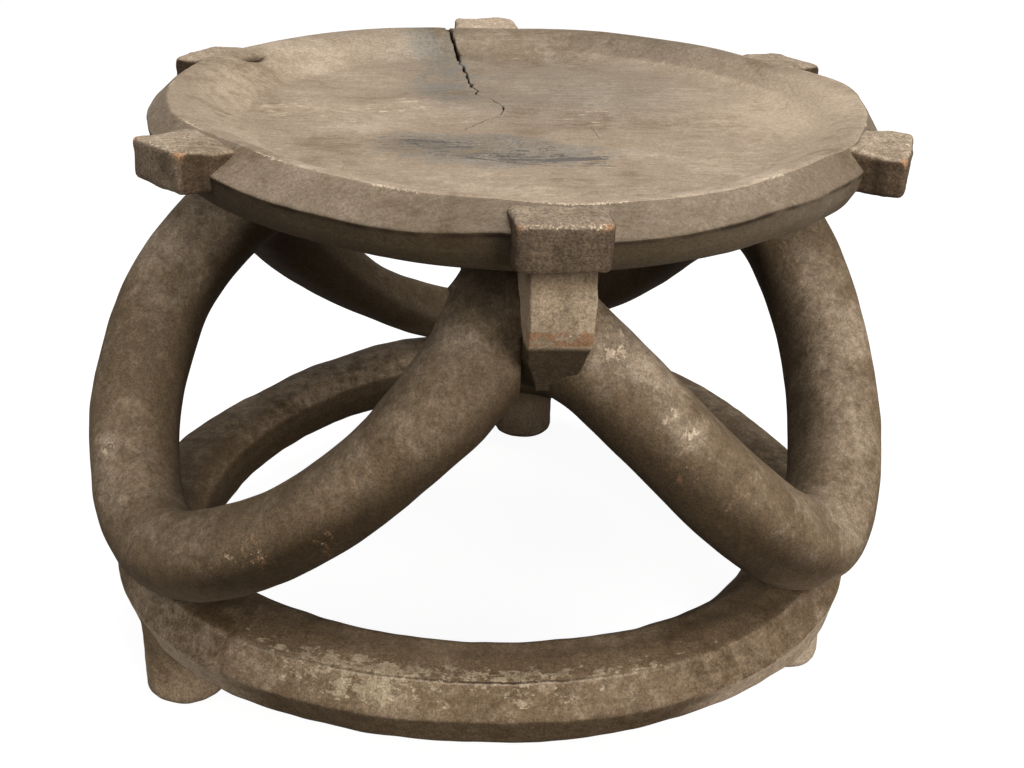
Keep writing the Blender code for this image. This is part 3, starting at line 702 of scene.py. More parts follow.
lug_wood = carved_wood("lug_wood", LUG_TONES, SEAT_GRAIN, 1, mottle=0.8, relief=1.3, speckle=1.3)
for number, (lug_name, numbers) in enumerate(LUGS.items()):
    turn, out_share, below_share, rubbed, rise, skew, roll, inner = numbers
    reach = RIDGE_RADIUS + LUG_OUTSET * out_share
    below = -LUG_BELOW * below_share
    top_level = LUG_ABOVE - LUG_TOP_FALL
    corners = np.array([
        (LUG_ROOT - inner, below), (reach, below), (reach, top_level + rise),
        (CREST_OUTER - inner, top_level + 0.22 * inner),
        (LUG_ROOT - inner, LUG_ROOT_HEIGHT), (LUG_ROOT - inner, below),
    ])
    line = soften(corners, (0, LUG_ROUNDING, LUG_ROUNDING, LUG_ROUNDING, 0.002, 0))[:-1]
    rings = prism(line, LUG_HALF_WIDTH, LUG_ROUNDING)
    outer_share = ease((rings[..., 0] - 0.226) / 0.020)
    rings[..., 1] *= 1 - LUG_TAPER * ease((rings[..., 0] - 0.222) / 0.035)
    normal = outward(rings)
    chips = carving(rings + number, LUG_CARVING, number)
    # Its upper outer edge with the two corners, and the two upright edges
    edge = hump(rings[..., 0] - reach, 0.0055) * hump(rings[..., 2] - LUG_ABOVE - rise, 0.0050)
    corner = edge * ease((np.abs(rings[..., 1]) - LUG_HALF_WIDTH * 0.5) / 0.012)
    side_edge = hump(rings[..., 0] - reach, 0.004) * hump(np.abs(rings[..., 1]) - LUG_HALF_WIDTH, 0.004)
    # The top rolls to one side and the outer end is skewed
    carved = rings + normal * chips[..., None]
    upper = ease((rings[..., 2] + 0.010) / 0.016)
    carved[..., 2] += roll * rings[..., 1] / LUG_HALF_WIDTH * outer_share * upper
    carved[..., 0] += skew * rings[..., 1] * outer_share
    top = ease((normal[..., 2] - 0.35) / 0.4)
    end_face = ease((normal[..., 0] - 0.4) / 0.3)
    blotch = ease(0.5 + 0.7 * ripple(rings + number, 0.018, 80 + number))
    top_pale, top_shade, side_shade, end_lift = LUG_LOOKS[lug_name]
    # Painted shadow under the rim's edge, and random dark blotches on the sides
    under_rim = hump(rings[..., 0] - 0.2405, 0.0035) * (rings[..., 2] < LUG_ABOVE - 0.004)
    lug = surface("lug_" + lug_name, tilted(about_z(carved, turn)), {
        "rub": np.clip(corner * (0.8 + 0.8 * rubbed) + side_edge * 0.8 * rubbed, 0, 1),
        "glint": edge * 1.1,
        "pale": top_pale * top,
        "painted_shade_and_grime": 0.45 * under_rim + 0.25 * blotch * (1 - top),
        "shade": top_shade * top + (side_shade - end_lift * end_face) * (1 - top),
    })
    lug.data.materials.append(lug_wood)
    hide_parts("rim_block_" + lug_name)

# Leg loops: three thick round bars carved free of the block.  Each comes down from under
# the seat, bends in a U on the base ring and climbs back, and swells where two loops meet
# in a V.  They are knocked and scuffed on the outer sides.

# The ring's middle on the floor, how far the legs' peaks lie from it, and the loops' sizes
CENTRE = np.array([0.00026, -0.00960, 0])
LEGS_SHIFT = np.array([0.0106, -0.0038, 0])
PEAK_RADIUS = 0.163
PEAK_HEIGHT = 0.308
VALLEY_RADIUS = 0.256
RING_TOP = 0.0909
VALLEY_SINK = 0.003
BAR_RADIUS = 0.030
LEG_REACH = 0.100
LEAD = 0.060
LEAD_RISE_SHARE = 0.70
# Azimuth in degrees, share of the radius from the middle and share of the bar's radius
PEAKS = {"front": (-93, 0.97, 0.97), "back_right": (23.5, 1.02, 1.06), "back_left": (153.5, 1.00, 1.12)}
VALLEYS = {"right": (-34.7, 1.01, 1.05), "back": (90, 0.985, 0.81), "left": (207.5, 1.00, 0.96)}
# Shares of the reach of a half loop's handles: outwards, sideways and down at its peak, and
# along the ring at its valley
LEG_HANDLES = {
    ("front", "right"): (0.65, 0.69, 0.34, 0.64),
    ("front", "left"): (0.70, 0.50, 1.00, 0.72),
    ("back_right", "right"): (0.97, 0.37, 0.20, 0.97),
    ("back_left", "left"): (1.10, 0.64, 0.54, 0.89),
    ("back_right", "back"): (1.20, 0.20, 0.42, 1.00),
    ("back_left", "back"): (1.28, 0.33, 0.31, 0.81),
}
LOOPS = {
    "leg_loop_right": ("front", "right", "back_right"),
    "leg_loop_back": ("back_right", "back", "back_left"),
    "leg_loop_left": ("back_left", "left", "front"),
}
LEAD_STEPS = 30
LEG_STEPS = 120
BAR_COLUMNS = 84
BAR_ROWS = 330
# How near another bar a web of wood starts, how far under the seat's own plane a leg ends, and
# how far past the plane between two loops a leg may reach
WEB_REACH = 0.040
LEG_TOP = -0.027
MITRE = 0.004
LEG_CARVING = [(0.0004, 0.090, 30), (0.00012, 0.025, 33)]
LEG_SINK = 0.0002
# Places scuffed pale, some of them painted light where a bend or a top lies in shade, places
# given painted shade, and places rubbed to a rusty brown: middle, reach, strength
LEG_SCUFFS_AND_LIGHT = [
    ((0.0586, -0.2220, 0.2910), 0.026, 0.95), ((0.0870, -0.2360, 0.2550), 0.010, 1.02),
    ((0.0985, -0.2366, 0.2430), 0.011, 1.02),
    ((0.0471, -0.2316, 0.2652), 0.016, 0.40), ((-0.0260, -0.2080, 0.2980), 0.022, 0.55),
    ((-0.0500, -0.2250, 0.2550), 0.035, 0.45), ((-0.2610, -0.0799, 0.1626), 0.010, 1.20),
    ((0.2490, -0.0601, 0.2098), 0.060, 0.50), ((0.2421, -0.1208, 0.1630), 0.050, 0.45),
    ((-0.2600, -0.0900, 0.1500), 0.040, 0.35), ((-0.1993, -0.1941, 0.1374), 0.030, 0.15),
    ((0.1812, -0.2173, 0.1331), 0.035, 0.50), ((0.2268, -0.1742, 0.1415), 0.045, 0.60),
    ((-0.1998, 0.0163, 0.2841), 0.060, 0.60), ((0.2267, -0.0275, 0.2350), 0.045, 0.55),
    ((0.0650, -0.2260, 0.2800), 0.035, 0.50),
]
LEG_DARKER = [((-0.2450, -0.0300, 0.2250), 0.045, 0.22), ((-0.1228, -0.2267, 0.1774), 0.030, 0.22)]
LEG_RUBS = [
    ((-0.1501, -0.2194, 0.1633), 0.016, 0.60), ((-0.1659, -0.2122, 0.1556), 0.012, 0.60),
    ((-0.1056, -0.2288, 0.1779), 0.020, 0.45), ((0.0995, -0.2404, 0.2201), 0.018, 0.45),
    ((0.1284, -0.2371, 0.2002), 0.018, 0.50), ((0.1051, -0.2383, 0.2285), 0.012, 0.35),
]
# Where painted shade sits under the seat in front, likewise
LEG_SHADE_SPOTS = [((-0.0180, -0.1930, 0.3350), 0.030, 1.4)]
# Where a bar is thicker than its even section: middle, reach, height
LEG_BUMPS = [
    ((-0.0220, -0.2190, 0.2450), 0.032, 0.0065), ((-0.1180, -0.1950, 0.2220), 0.040, -0.0035),
    ((-0.0726, 0.2299, 0.1711), 0.040, -0.0045), ((0.1760, 0.1270, 0.2030), 0.035, -0.0075),
    ((0.1265, 0.1715, 0.1575), 0.030, 0.0030), ((-0.1550, -0.1900, 0.1900), 0.028, -0.0035),
    ((-0.2520, -0.1370, 0.1260), 0.030, -0.0022), ((-0.0339, -0.1986, 0.3281), 0.020, -0.0030),
]
LEG_TONES = [(0.028, 0.017, 0.008), (0.100, 0.066, 0.036), (0.157, 0.109, 0.064), (0.228, 0.165, 0.102)]
LEG_GRAIN = (2.0, 2.0, 0.9)


def polar(radius, degrees, height=0.0):
    """A point at a radius, an azimuth and a height: the radius times the azimuth's cosine,
    and times its sine."""
    return np.array([radius * cos(radians(degrees)), radius * sin(radians(degrees)), height])


def bells(points, places):
    """For each place, its height times a bell of its reach, by the distance from the place."""
    return [height * hump(np.linalg.norm(points - place, axis=-1), reach) for place, reach, height in places]


def spots(points, places):
    """The highest of the places' bells at each point."""
    return np.max(bells(points, places), axis=0)


def half_leg(peak, valley):
    """The four points of the cubic curve from a peak down to a valley: the two ends, and from
    each end a handle as long as the shares of the reach say."""
    outwards, sideways, downwards, along = (share * LEG_REACH for share in LEG_HANDLES[(peak, valley)])
    top, peak_share, _ = PEAKS[peak]
    low, valley_share, bar_share = VALLEYS[valley]
    turn = 1 if sin(radians(low - top)) > 0 else -1
    start = CENTRE + LEGS_SHIFT + polar(PEAK_RADIUS * peak_share, top, PEAK_HEIGHT)
    end = CENTRE + polar(VALLEY_RADIUS * valley_share, low, RING_TOP + BAR_RADIUS * bar_share - VALLEY_SINK)
    leave = polar(outwards, top) + polar(sideways, top + 90 * turn) + np.array([0, 0, -downwards])
    return np.array([start, start + leave, end + polar(along, low - 90 * turn), end])


def lead(leg):
    """The cubic curve from inside the seat down to a leg's peak, straight back along the leg
    and up by a share: the last stretch of the bar."""
    back = (leg[0] - leg[1]) / np.linalg.norm(leg[0] - leg[1])
    slant = back + np.array([0, 0, LEAD_RISE_SHARE])
    slant /= np.linalg.norm(slant)
    top = leg[0] + slant * LEAD
    return np.array([top, top - slant * LEAD / 3, leg[0] + back * LEAD / 3, leg[0]])


def cubic(points, count):
    """Points of a cubic Bezier curve: the corners weighted by the binomials of t."""
    t = np.linspace(0, 1, count)[:, None]
    a, b, c, d = points
    return (1 - t) ** 3 * a + 3 * t * (1 - t) ** 2 * b + 3 * t * t * (1 - t) * c + t ** 3 * d


def loop_line(first, valley, second):
    """A loop's middle line, as even steps along its four curves, and its bar's radius at each
    step, which runs straight from one curve's end to the next."""
    down, up = half_leg(first, valley), half_leg(second, valley)
    runs = [
        cubic(lead(down), LEAD_STEPS), cubic(down, LEG_STEPS)[1:],
        cubic(up, LEG_STEPS)[::-1][1:], cubic(lead(up), LEAD_STEPS)[::-1][1:],
    ]
    line = np.concatenate(runs)
    shares = [PEAKS[first][2], PEAKS[first][2], VALLEYS[valley][2], PEAKS[second][2], PEAKS[second][2]]
    marks = walked(line)[np.cumsum([0] + [len(run) for run in runs]) - (0, 1, 1, 1, 1)]
    stations = np.linspace(0, walked(line)[-1], BAR_ROWS)
    return spread(line, stations), BAR_RADIUS * np.interp(stations, marks, shares)


def beside(points, line, sizes):
    """How far each point is from the skin of a bar, less than zero inside it, and the way
    from the point to the nearest place on the bar's middle line."""
    away, way = np.full(points.shape[:-1], np.inf), np.zeros(points.shape)
    for middle, size in zip(line[::3], sizes[::3]):
        gap = np.linalg.norm(points - middle, axis=-1) - size
        way = np.where((gap < away)[..., None], middle - points, way)
        away = np.minimum(away, gap)
    return away, way


lines = {name: loop_line(*route) for name, route in LOOPS.items()}
leg_wood = carved_wood(
    "leg_wood", LEG_TONES, LEG_GRAIN, 3, mottle=1.9, polish=0.54, speckle=0.9,
    dash_scale=(1.0, 1.0, 1.0), dash_level=0.535,
)
for number, (loop_name, (middle, bar)) in enumerate(lines.items()):
    first_peak, valley, second_peak = LOOPS[loop_name]
    away = polar(1, VALLEYS[valley][0])
    # The bar: a squarish round section, swept along the middle line with its first corner
    # turned away from the stool's middle
    along = np.gradient(middle, axis=0)
    along /= np.linalg.norm(along, axis=1, keepdims=True)
    side = away - along * (along @ away)[:, None]
    side /= np.linalg.norm(side, axis=1, keepdims=True)
    other = np.cross(along, side)
    round_share = np.linspace(0, 2 * pi, BAR_COLUMNS, endpoint=False)
    turned = round_share[None, :, None]
    spoke = np.cos(turned) * side[:, None] + np.sin(turned) * other[:, None]
    facet = 0.992 + 0.034 * np.cos(4 * round_share) + 0.010 * np.cos(3 * round_share + number)
    skin = middle[:, None] + spoke * (bar[:, None] * facet)[..., None]
    # It is uneven, and swells towards another bar that it faces
    swell = carving(skin, LEG_CARVING, number) - LEG_SINK
    web = 0 * swell
    for name in lines:
        if name != loop_name:
            gap, way = beside(skin, *lines[name])
            facing = np.sum(spoke * (way + skin - middle[:, None]), -1) / BAR_RADIUS
            web += WEB_REACH / 4 * np.clip(1 - np.abs(gap) / WEB_REACH, 0, 1) ** 2 * ease(facing)
    swell += sum(bells(skin, LEG_BUMPS))
    skin = skin + spoke * (swell + web)[..., None]
    # Each end stays on its own side of the plane in which it meets the next loop, and below
    # the seat's upper side
    upper_ends = ((first_peak, slice(0, BAR_ROWS // 3)), (second_peak, slice(-BAR_ROWS // 3, None)))
    for peak, rows in upper_ends:
        across = polar(1, PEAKS[peak][0] + 90)
        across *= np.sign(away @ across)
        depth = (skin[rows] - CENTRE - LEGS_SHIFT) @ across
        skin[rows] += across * np.maximum(-MITRE - depth, 0)[..., None]
    seat_skin = (skin - SEAT_PLACE) @ SEAT_TILT
    seat_skin[..., 2] = np.minimum(seat_skin[..., 2], LEG_TOP)
    skin = tilted(seat_skin)
    # Scuffed outsides, and painted shade on the inner sides of the far legs, on the undersides and at a few
    # listed places
    up_facing = spoke[..., 2]
    out_facing = spoke @ away
    scuffed = hump(out_facing - 0.8, 0.45) * ease(0.5 + 0.6 * ripple(skin, 0.070, 36 + number))
    far = ease((skin[..., 1] + 0.02 + 0.11 * np.minimum(skin[..., 0], 0)) / 0.06)
    hidden = far * ease(0.55 - 0.9 * np.minimum(spoke[..., 1], out_facing))
    level = np.sqrt(np.clip(1 - along[:, 2] ** 2, 0.04, 1))[:, None]
    underneath = level * ease(0.48 - 1.25 * up_facing / level) * ease((skin[..., 2] - 0.100) / 0.045)
    shade = 1.2 * underneath + spots(skin, LEG_DARKER) + hidden * (0.54 + 0.32 * ease(skin[..., 0] / 0.06))
    # Painted shade where a loop rests on the ring, and on its inside under the seat
    contact_shade = hump(skin[..., 2] - RING_TOP, 0.010) * ease(-up_facing * 2)
    inwards = ease(0.5 - 0.8 * out_facing)
    contact_shade += 1.5 * ease((seat_skin[..., 2] + 0.045 + 0.025 * inwards) / 0.020) * inwards ** 2
    contact_shade += spots(skin, LEG_SHADE_SPOTS)
    knocks_and_light, rubs = spots(skin, LEG_SCUFFS_AND_LIGHT), spots(skin, LEG_RUBS)
    leg = surface(loop_name + "_carved", skin, {
        "pale": np.clip(0.16 * ease(up_facing * 1.4) + 0.14 * scuffed + 0.52 * knocks_and_light.clip(0, 0.68), 0, 1),
        "dash": np.clip(1.6 * knocks_and_light - 0.84, 0, 1),
        "rub": 0.75 * rubs,
        "glint": 1.5 * rubs + 0.35 * knocks_and_light,
        "painted_shade_and_grime": np.clip(0.55 * contact_shade, 0, 0.9),
        "shade": np.clip(shade, 0, 0.95),
    })
    leg.data.materials.append(leg_wood)
    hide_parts(loop_name)

# Knuckles: a square wedge under every second lug, where two loops meet.  The front face is
# flat, its lower edge is rubbed to bare orange wood, and the underside slopes back into
# the V of the legs.

# Azimuth in degrees of each, then the reach and height of the wedge's corners
KNUCKLES = {"front": -89, "back_right": 30, "back_left": 151}
KNUCKLE_HALF_WIDTH = 0.0178
KNUCKLE_REACH = 0.235
KNUCKLE_BACK = 0.168
KNUCKLE_TOP = -0.010
KNUCKLE_DROP = -0.0570
KNUCKLE_BEVEL = 0.0110
KNUCKLE_KEEL_REACH = 0.2085
KNUCKLE_KEEL = -0.1065
KNUCKLE_ROUNDING = 0.0016
# How much narrower the keel is than the face, and over what height
KNUCKLE_TAPER = 0.50
KNUCKLE_TAPER_HEIGHT = 0.040
KNUCKLE_CARVING = [(0.0003, 0.025, 50), (0.00010, 0.006, 53)]
KNUCKLE_TONES = [(0.030, 0.019, 0.009), (0.215, 0.154, 0.096), (0.350, 0.258, 0.168), (0.450, 0.343, 0.236)]

knuckle_wood = carved_wood("knuckle_wood", KNUCKLE_TONES, (2.0, 2.0, 1.0), 4, relief=1.1)
for number, (knuckle_name, turn) in enumerate(KNUCKLES.items()):
    bevel_end = KNUCKLE_DROP - KNUCKLE_BEVEL
    corners = np.array([
        (KNUCKLE_BACK, KNUCKLE_TOP), (KNUCKLE_BACK, KNUCKLE_DROP - 0.02), (KNUCKLE_KEEL_REACH, KNUCKLE_KEEL),
        (KNUCKLE_REACH - KNUCKLE_BEVEL * 0.45, bevel_end), (KNUCKLE_REACH, KNUCKLE_DROP),
        (KNUCKLE_REACH, KNUCKLE_TOP), (KNUCKLE_BACK, KNUCKLE_TOP),
    ])
    line = soften(corners, (0, 0.004, 0.006, 0.0018, KNUCKLE_ROUNDING, 0.002, 0))[:-1]
    rings = prism(line, KNUCKLE_HALF_WIDTH, KNUCKLE_ROUNDING, columns=150, across=22)
    rings[..., 1] *= 1 - KNUCKLE_TAPER * ease((bevel_end - rings[..., 2]) / KNUCKLE_TAPER_HEIGHT)
    carved = rings + outward(rings) * carving(rings, KNUCKLE_CARVING, number)[..., None]
    # The rubbed bevel along the face's lower edge, painted shade on the slope under it and near the seat,
    # and a band of painted shadow under the lug
    depth = rings[..., 2]
    bevel_band = ease((KNUCKLE_DROP + 0.001 - depth) / 0.001) * ease((depth - bevel_end) / 0.0015)
    bevel_band = bevel_band * ease((rings[..., 0] - 0.220) / 0.004)
    underside = ease((bevel_end - depth) / 0.002)
    near_seat = ease((depth - KNUCKLE_TOP + 0.028) / 0.014)
    knuckle = surface("knuckle_%s_carved" % knuckle_name, tilted(about_z(carved, turn)), {
        "rub": bevel_band * np.clip(0.75 + 0.45 * ripple(rings, 0.009, 56), 0, 1),
        "pale": 0.50 * (1 - underside) * ease((KNUCKLE_TOP - 0.012 - depth) / 0.018),
        "shade": np.clip(underside + 0.40 * near_seat * (1 - underside), 0, 1),
        "painted_shade_and_grime": 0.5 * hump(depth - KNUCKLE_TOP + 0.012, 0.006),
    })
    knuckle.data.materials.append(knuckle_wood)
    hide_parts("knuckle_" + knuckle_name)

# Base ring: one thick bar bent into a rounded triangle, cut with long flat facets.  The
# surface film has flaked off the front in tan patches.

# The bar's middle radius, its half width and height, its middle's height, and how much and
# where the ring is three-cornered
RING_RADIUS = 0.2328
RING_HALF_WIDTH = 0.034
RING_HALF_HEIGHT = 0.0255
RING_HEIGHT = 0.0654
RING_CORNER_SHARE = 0.040
RING_CORNER_AZIMUTH = radians(81)
# Corners of the section as shares of the half width and half height, and their rounding
RING_SECTION = np.array([
    (0.05, 1.02, 0.004), (0.58, 0.88, 0.0016), (0.98, 0.08, 0.0025), (0.82, -0.70, 0.003),
    (0.38, -1.03, 0.004), (-0.35, -1.03, 0.005), (-0.88, -0.52, 0.006), (-0.92, 0.36, 0.006),
    (-0.56, 0.95, 0.005), (0.05, 1.02, 0.004),
])
# Where the ring departs from its even section: middle, reach, height
RING_BUMPS = [
    ((0.150, -0.225, 0.045), 0.045, -0.0030), ((0.207, -0.183, 0.075), 0.030, -0.0020),
    ((-0.131, -0.170, 0.090), 0.050, 0.0020), ((-0.190, 0.140, 0.088), 0.060, -0.0025),
]
RING_ROWS = 560
RING_COLUMNS = 110
RING_CARVING = [(0.0006, 0.100, 60), (0.00015, 0.020, 61)]
# The azimuth of the middle of the front
RING_FRONT = radians(262)
RING_TONES = [(0.050, 0.032, 0.016), (0.088, 0.055, 0.028), (0.165, 0.111, 0.064), (0.240, 0.170, 0.106)]


def lathe(radius, height, sweep):
    """Points at each radius and height, turned about the Z axis by each angle of the sweep."""
    return np.stack(np.broadcast_arrays(radius * np.cos(sweep), radius * np.sin(sweep), height), -1)


# The section, closed in the middle of one side, swept round the three-cornered ring
corners = RING_SECTION[:, :2] * (RING_HALF_WIDTH, RING_HALF_HEIGHT)
side_middle = (corners[:1] + corners[-2:-1]) / 2
corners = np.concatenate([side_middle, corners[:-1], side_middle])
rounding = np.concatenate([[0], RING_SECTION[:-1, 2], [0]])
section = soften(corners, rounding, 9)
section = spread(section, np.linspace(0, walked(section)[-1], RING_COLUMNS, endpoint=False))
sweep = np.linspace(0, 2 * pi, RING_ROWS, endpoint=False)[:, None]
stretch = 1 + RING_CORNER_SHARE * np.cos(3 * (sweep - RING_CORNER_AZIMUTH))
out = (RING_RADIUS + section[:, 0]) * stretch
hoop = lathe(out, RING_HEIGHT + section[:, 1], sweep) + CENTRE
normal = lathe(section[:, 0], section[:, 1], sweep)
normal /= np.linalg.norm(normal, axis=-1, keepdims=True)
adze = carving(hoop, RING_CARVING) + sum(bells(hoop, RING_BUMPS))
hoop = hoop + normal * adze[..., None]

# Which points face the front, the outside and the floor, and which touch a leg
front = ease(0.5 - 0.9 * np.sin(sweep + 0.15))
outer_side = ease(section[:, 0] / 0.010)
side_of_front = np.angle(np.exp(1j * (sweep - RING_FRONT)))
under = ease((0.0025 - section[:, 1]) / 0.0025)
lit_rim = under * ease((np.abs(side_of_front - 0.02) - 0.45) / 0.25) * front
pressed = hump(np.min([beside(hoop, *line)[0] for line in lines.values()], axis=0), 0.006)
# The ridge between the upper and the outer facet, and the bands beside it where film flaked off
ridge = RING_SECTION[1] * (RING_HALF_WIDTH, RING_HALF_HEIGHT, 1)
ridge_gap = np.hypot(section[:, 0] - ridge[0], section[:, 1] - ridge[1])
crease = hump(ridge_gap, 0.0011)
upper_facet = ease((section[:, 1] - ridge[1]) / 0.0010) * ease((section[:, 0] + 0.010) / 0.01)
lower_facet = ease((ridge[1] - section[:, 1]) / 0.0015) * outer_side
walk = np.linspace(0, walked(section)[-1], RING_COLUMNS)
ridge_walk = walk[np.argmin(ridge_gap)]
above_band = hump(walk - ridge_walk + 0.0045, 0.0070) * hump(side_of_front, 0.55)
below_reach = hump(side_of_front + 0.24, 0.20) + 0.55 * hump(side_of_front - 0.15, 0.30)
below_band = hump(walk - ridge_walk - 0.0110, 0.0085) * below_reach
flaky = np.clip(above_band + 0.80 * below_band, 0, 0.92) * (1 - 0.10 * ease(-0.15 - side_of_front))
inner_face = ease(-section[:, 0] / 0.010) * ease((0.014 - section[:, 1]) / 0.003)
polished = np.clip(0.7 + 0.6 * ripple(hoop, 0.050, 63), 0, 1) * hump(side_of_front - 0.20, 0.50)
# Wear on the left and on the front's lower facet, and a painted highlight along the ridge
worn_and_lit = 0.20 * hump(side_of_front + 0.90, 0.30) + 0.23 * front * lower_facet + 0.32 * crease * front
base_ring = surface("base_ring_carved", hoop, {
    "along": (sweep - 1.5 * pi) * RING_RADIUS * 0.60,
    "across": walk,
    # A painted line of shade just under the ridge, with a pale lip
    "painted_ridge_shade": 0.85 * hump(side_of_front - 0.12, 0.30) + 0.35 * hump(side_of_front + 0.35, 0.30),
    "flake": flaky * (0.93 + 0.20 * ripple(hoop, 0.055, 62) + 0.14 * ripple(hoop, 0.014, 64)),
    # Pale: wear, and painted light on the back's top and on the lit rim of the chamfer
    "pale": worn_and_lit + 0.36 * (1 - front) * (1 - inner_face) + 0.45 * lit_rim,
    "shade": np.clip(0.75 * (under - lit_rim) + 0.24 * front * upper_facet + 0.80 * inner_face, 0, 1),
    # Painted shade where the legs press on the ring
    "painted_shade_and_grime": 0.6 * pressed,
    # Bright chips and painted glints along the ridge
    "glint": 1.5 * crease * polished,
}, closed_path=True)
base_ring.data.materials.append(carved_wood(
    "ring_wood", RING_TONES, (1.0, 1.0, 3.0), 5, mottle=1.1, relief=1.1, seam=float(ridge_walk),
))
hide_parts("base_ring")

# Feet: three short round stubs under the ring, one near each loop's bend, rounded and
# knocked where they meet the ground.

# Azimuth in degrees, how far in under the ring as a share of the radius, how much painted light, how much
# painted shade
FEET = {"left": (209.3, 0.06, 0.0, 0.0), "right": (331.1, 0.38, 1.0, 0.0), "back": (77, 0.18, 0.0, 0.5)}
FOOT_RADIUS = 0.0285
FOOT_ROUNDING = 0.0055
FOOT_TOP = 0.0640
FOOT_COLUMNS = 72
FOOT_CARVING = [(0.0005, 0.035, 70), (0.00012, 0.010, 73)]
FOOT_SINK = 0.0006
FOOT_TONES = [(0.075, 0.050, 0.027), (0.190, 0.131, 0.077), (0.330, 0.240, 0.154), (0.430, 0.325, 0.222)]

foot_wood = carved_wood("foot_wood", FOOT_TONES, (2.5, 2.5, 1.0), 6, relief=1.1)
for number, (foot_name, (turn, inset_share, pale, dark)) in enumerate(FEET.items()):
    stretch = 1 + RING_CORNER_SHARE * cos(3 * (radians(turn) - RING_CORNER_AZIMUTH))
    out = (RING_RADIUS + RING_HALF_WIDTH) * stretch - FOOT_RADIUS * (1 + inset_share)
    # The section: a flat sole, a quarter round and a straight side, turned about the middle
    bend = np.linspace(0, pi / 2, 9)
    flat_reach = FOOT_RADIUS - FOOT_ROUNDING
    sole = np.stack([np.linspace(0.001, flat_reach, 9, endpoint=False), np.zeros(9)], -1)
    heel = np.stack([flat_reach + FOOT_ROUNDING * np.sin(bend), FOOT_ROUNDING * (1 - np.cos(bend))], -1)
    stem = np.stack([np.full(24, FOOT_RADIUS), np.linspace(FOOT_ROUNDING, FOOT_TOP, 25)[1:]], -1)
    section = np.concatenate([sole, heel, stem])
    sweep = np.linspace(0, 2 * pi, FOOT_COLUMNS, endpoint=False)
    stub = lathe(section[:, :1], section[:, 1:], sweep)
    knock = carving(stub, FOOT_CARVING, number) - FOOT_SINK
    lift = ease(stub[..., 2] / 0.006)
    stub[..., 0] += knock * np.cos(sweep)
    stub[..., 1] += knock * np.sin(sweep)
    stub[..., 2] += np.abs(knock) * lift
    foot = surface("foot_%s_carved" % foot_name, stub + CENTRE + polar(out, turn), {
        "pale": pale,
        "shade": dark + 0.5 * ease((stub[..., 2] - 0.030) / 0.02),
        # Darker right at the sole
        "painted_shade_and_grime": 0.5 * hump(stub[..., 2], 0.004),
    })
    foot.data.materials.append(foot_wood)
    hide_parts("foot_" + foot_name)

# Studio: a pale seamless floor under three large soft lamps.  To the camera the floor glows
# nearly white, as the photograph's does, and to the wood it is a dim grey.  The camera stands at
# the photograph's viewpoint.

# The camera's place, its turn to the right, up and about its line of sight, and its lens
CAMERA_PLACE = Vector((-0.0642, -0.8421, 0.5848))
CAMERA_YAW = radians(5.817)
CAMERA_PITCH = radians(-26.66)
CAMERA_ROLL = radians(1.0)
CAMERA_LENS = 44.18
CAMERA_SENSOR = 36
FLOOR_CORNERS = [(-6, -6, 0), (6, -6, 0), (6, 6, 0), (-6, 6, 0)]
# Each lamp's place, the length of its side and its power, and the point that all three face
LAMPS = {
    "overhead": ((0.4, -0.2, 2.5), 2.0, 52),
    "right": ((1.5, -2.5, 1.1), 1.2, 58),
    "left": ((-2.6, -1.0, 1.2), 1.4, 11),
}
LAMP_COLOUR = (1.0, 0.98, 0.95)
AIM = Vector((0, 0, 0.2))

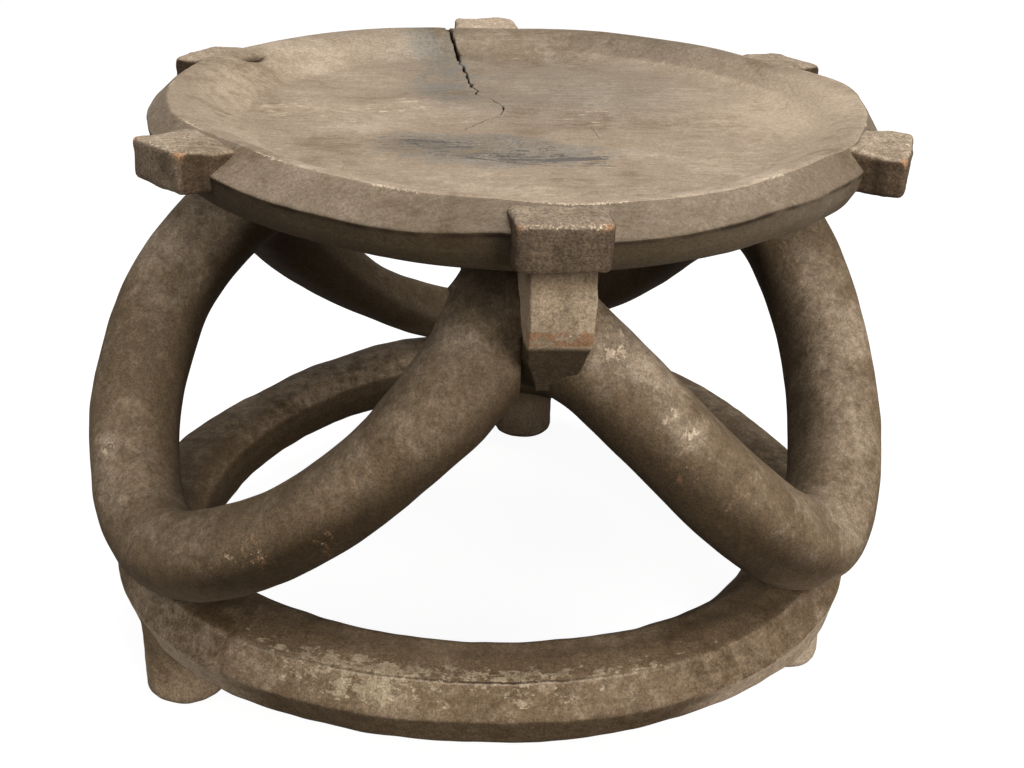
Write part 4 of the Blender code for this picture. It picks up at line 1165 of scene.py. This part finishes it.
floor_mesh = bpy.data.meshes.new("floor")
floor_mesh.from_pydata(FLOOR_CORNERS, [], [(0, 1, 2, 3)])
floor = bpy.data.objects.new("floor", floor_mesh)
bpy.context.scene.collection.objects.link(floor)
paper = bpy.data.materials.new("paper")
paper.use_nodes = True
tree = paper.node_tree
tree.nodes.clear()
seen = node(tree, "LightPath").outputs["Is Camera Ray"]
white = node(tree, "BsdfDiffuse", Color=(0.20, 0.20, 0.20, 1))
glow = node(tree, "Emission", Color=(1, 1, 1, 1), Strength=0.93)
lit = node(tree, "AddShader", i0=white.outputs[0], i1=glow.outputs[0])
dim = node(tree, "BsdfDiffuse", Color=(0.20, 0.18, 0.16, 1))
shown = node(tree, "MixShader", i0=seen, i1=dim.outputs[0], i2=lit.outputs[0])
node(tree, "OutputMaterial", Surface=shown.outputs[0])
floor_mesh.materials.append(paper)

world = bpy.data.worlds.new("studio")
bpy.context.scene.world = world
world.use_nodes = True
tree = world.node_tree
tree.nodes.clear()
seen = node(tree, "LightPath").outputs["Is Camera Ray"]
sky = node(tree, "Background", Color=(1.0, 0.99, 0.97, 1), Strength=0.26)
backdrop = node(tree, "Background", Color=(1, 1, 1, 1), Strength=1.0)
both = node(tree, "MixShader", i0=seen, i1=sky.outputs[0], i2=backdrop.outputs[0])
node(tree, "OutputWorld", Surface=both.outputs[0])

for lamp_name, (place, size, power) in LAMPS.items():
    lamp = bpy.data.lights.new(lamp_name, "AREA")
    lamp.size = size
    lamp.energy = power
    lamp.color = LAMP_COLOUR
    holder = bpy.data.objects.new(lamp_name, lamp)
    holder.location = place
    holder.rotation_euler = (AIM - Vector(place)).to_track_quat("-Z", "Y").to_euler()
    bpy.context.scene.collection.objects.link(holder)

# The camera's axes: ahead, and to the right and up, both rolled about the line of sight
look = Vector((sin(CAMERA_YAW) * cos(CAMERA_PITCH), cos(CAMERA_YAW) * cos(CAMERA_PITCH), sin(CAMERA_PITCH)))
level = Vector((cos(CAMERA_YAW), -sin(CAMERA_YAW), 0))
above = level.cross(look)
right_side = level * cos(CAMERA_ROLL) + above * sin(CAMERA_ROLL)
upright = above * cos(CAMERA_ROLL) - level * sin(CAMERA_ROLL)
camera_data = bpy.data.cameras.new("camera")
camera_data.lens = CAMERA_LENS
camera_data.sensor_width = CAMERA_SENSOR
camera = bpy.data.objects.new("camera", camera_data)
turned = Matrix((right_side, upright, -look)).transposed().to_4x4()
camera.matrix_world = Matrix.Translation(CAMERA_PLACE) @ turned
bpy.context.scene.collection.objects.link(camera)
bpy.context.scene.camera = camera
bpy.context.scene.view_settings.view_transform = "Standard"
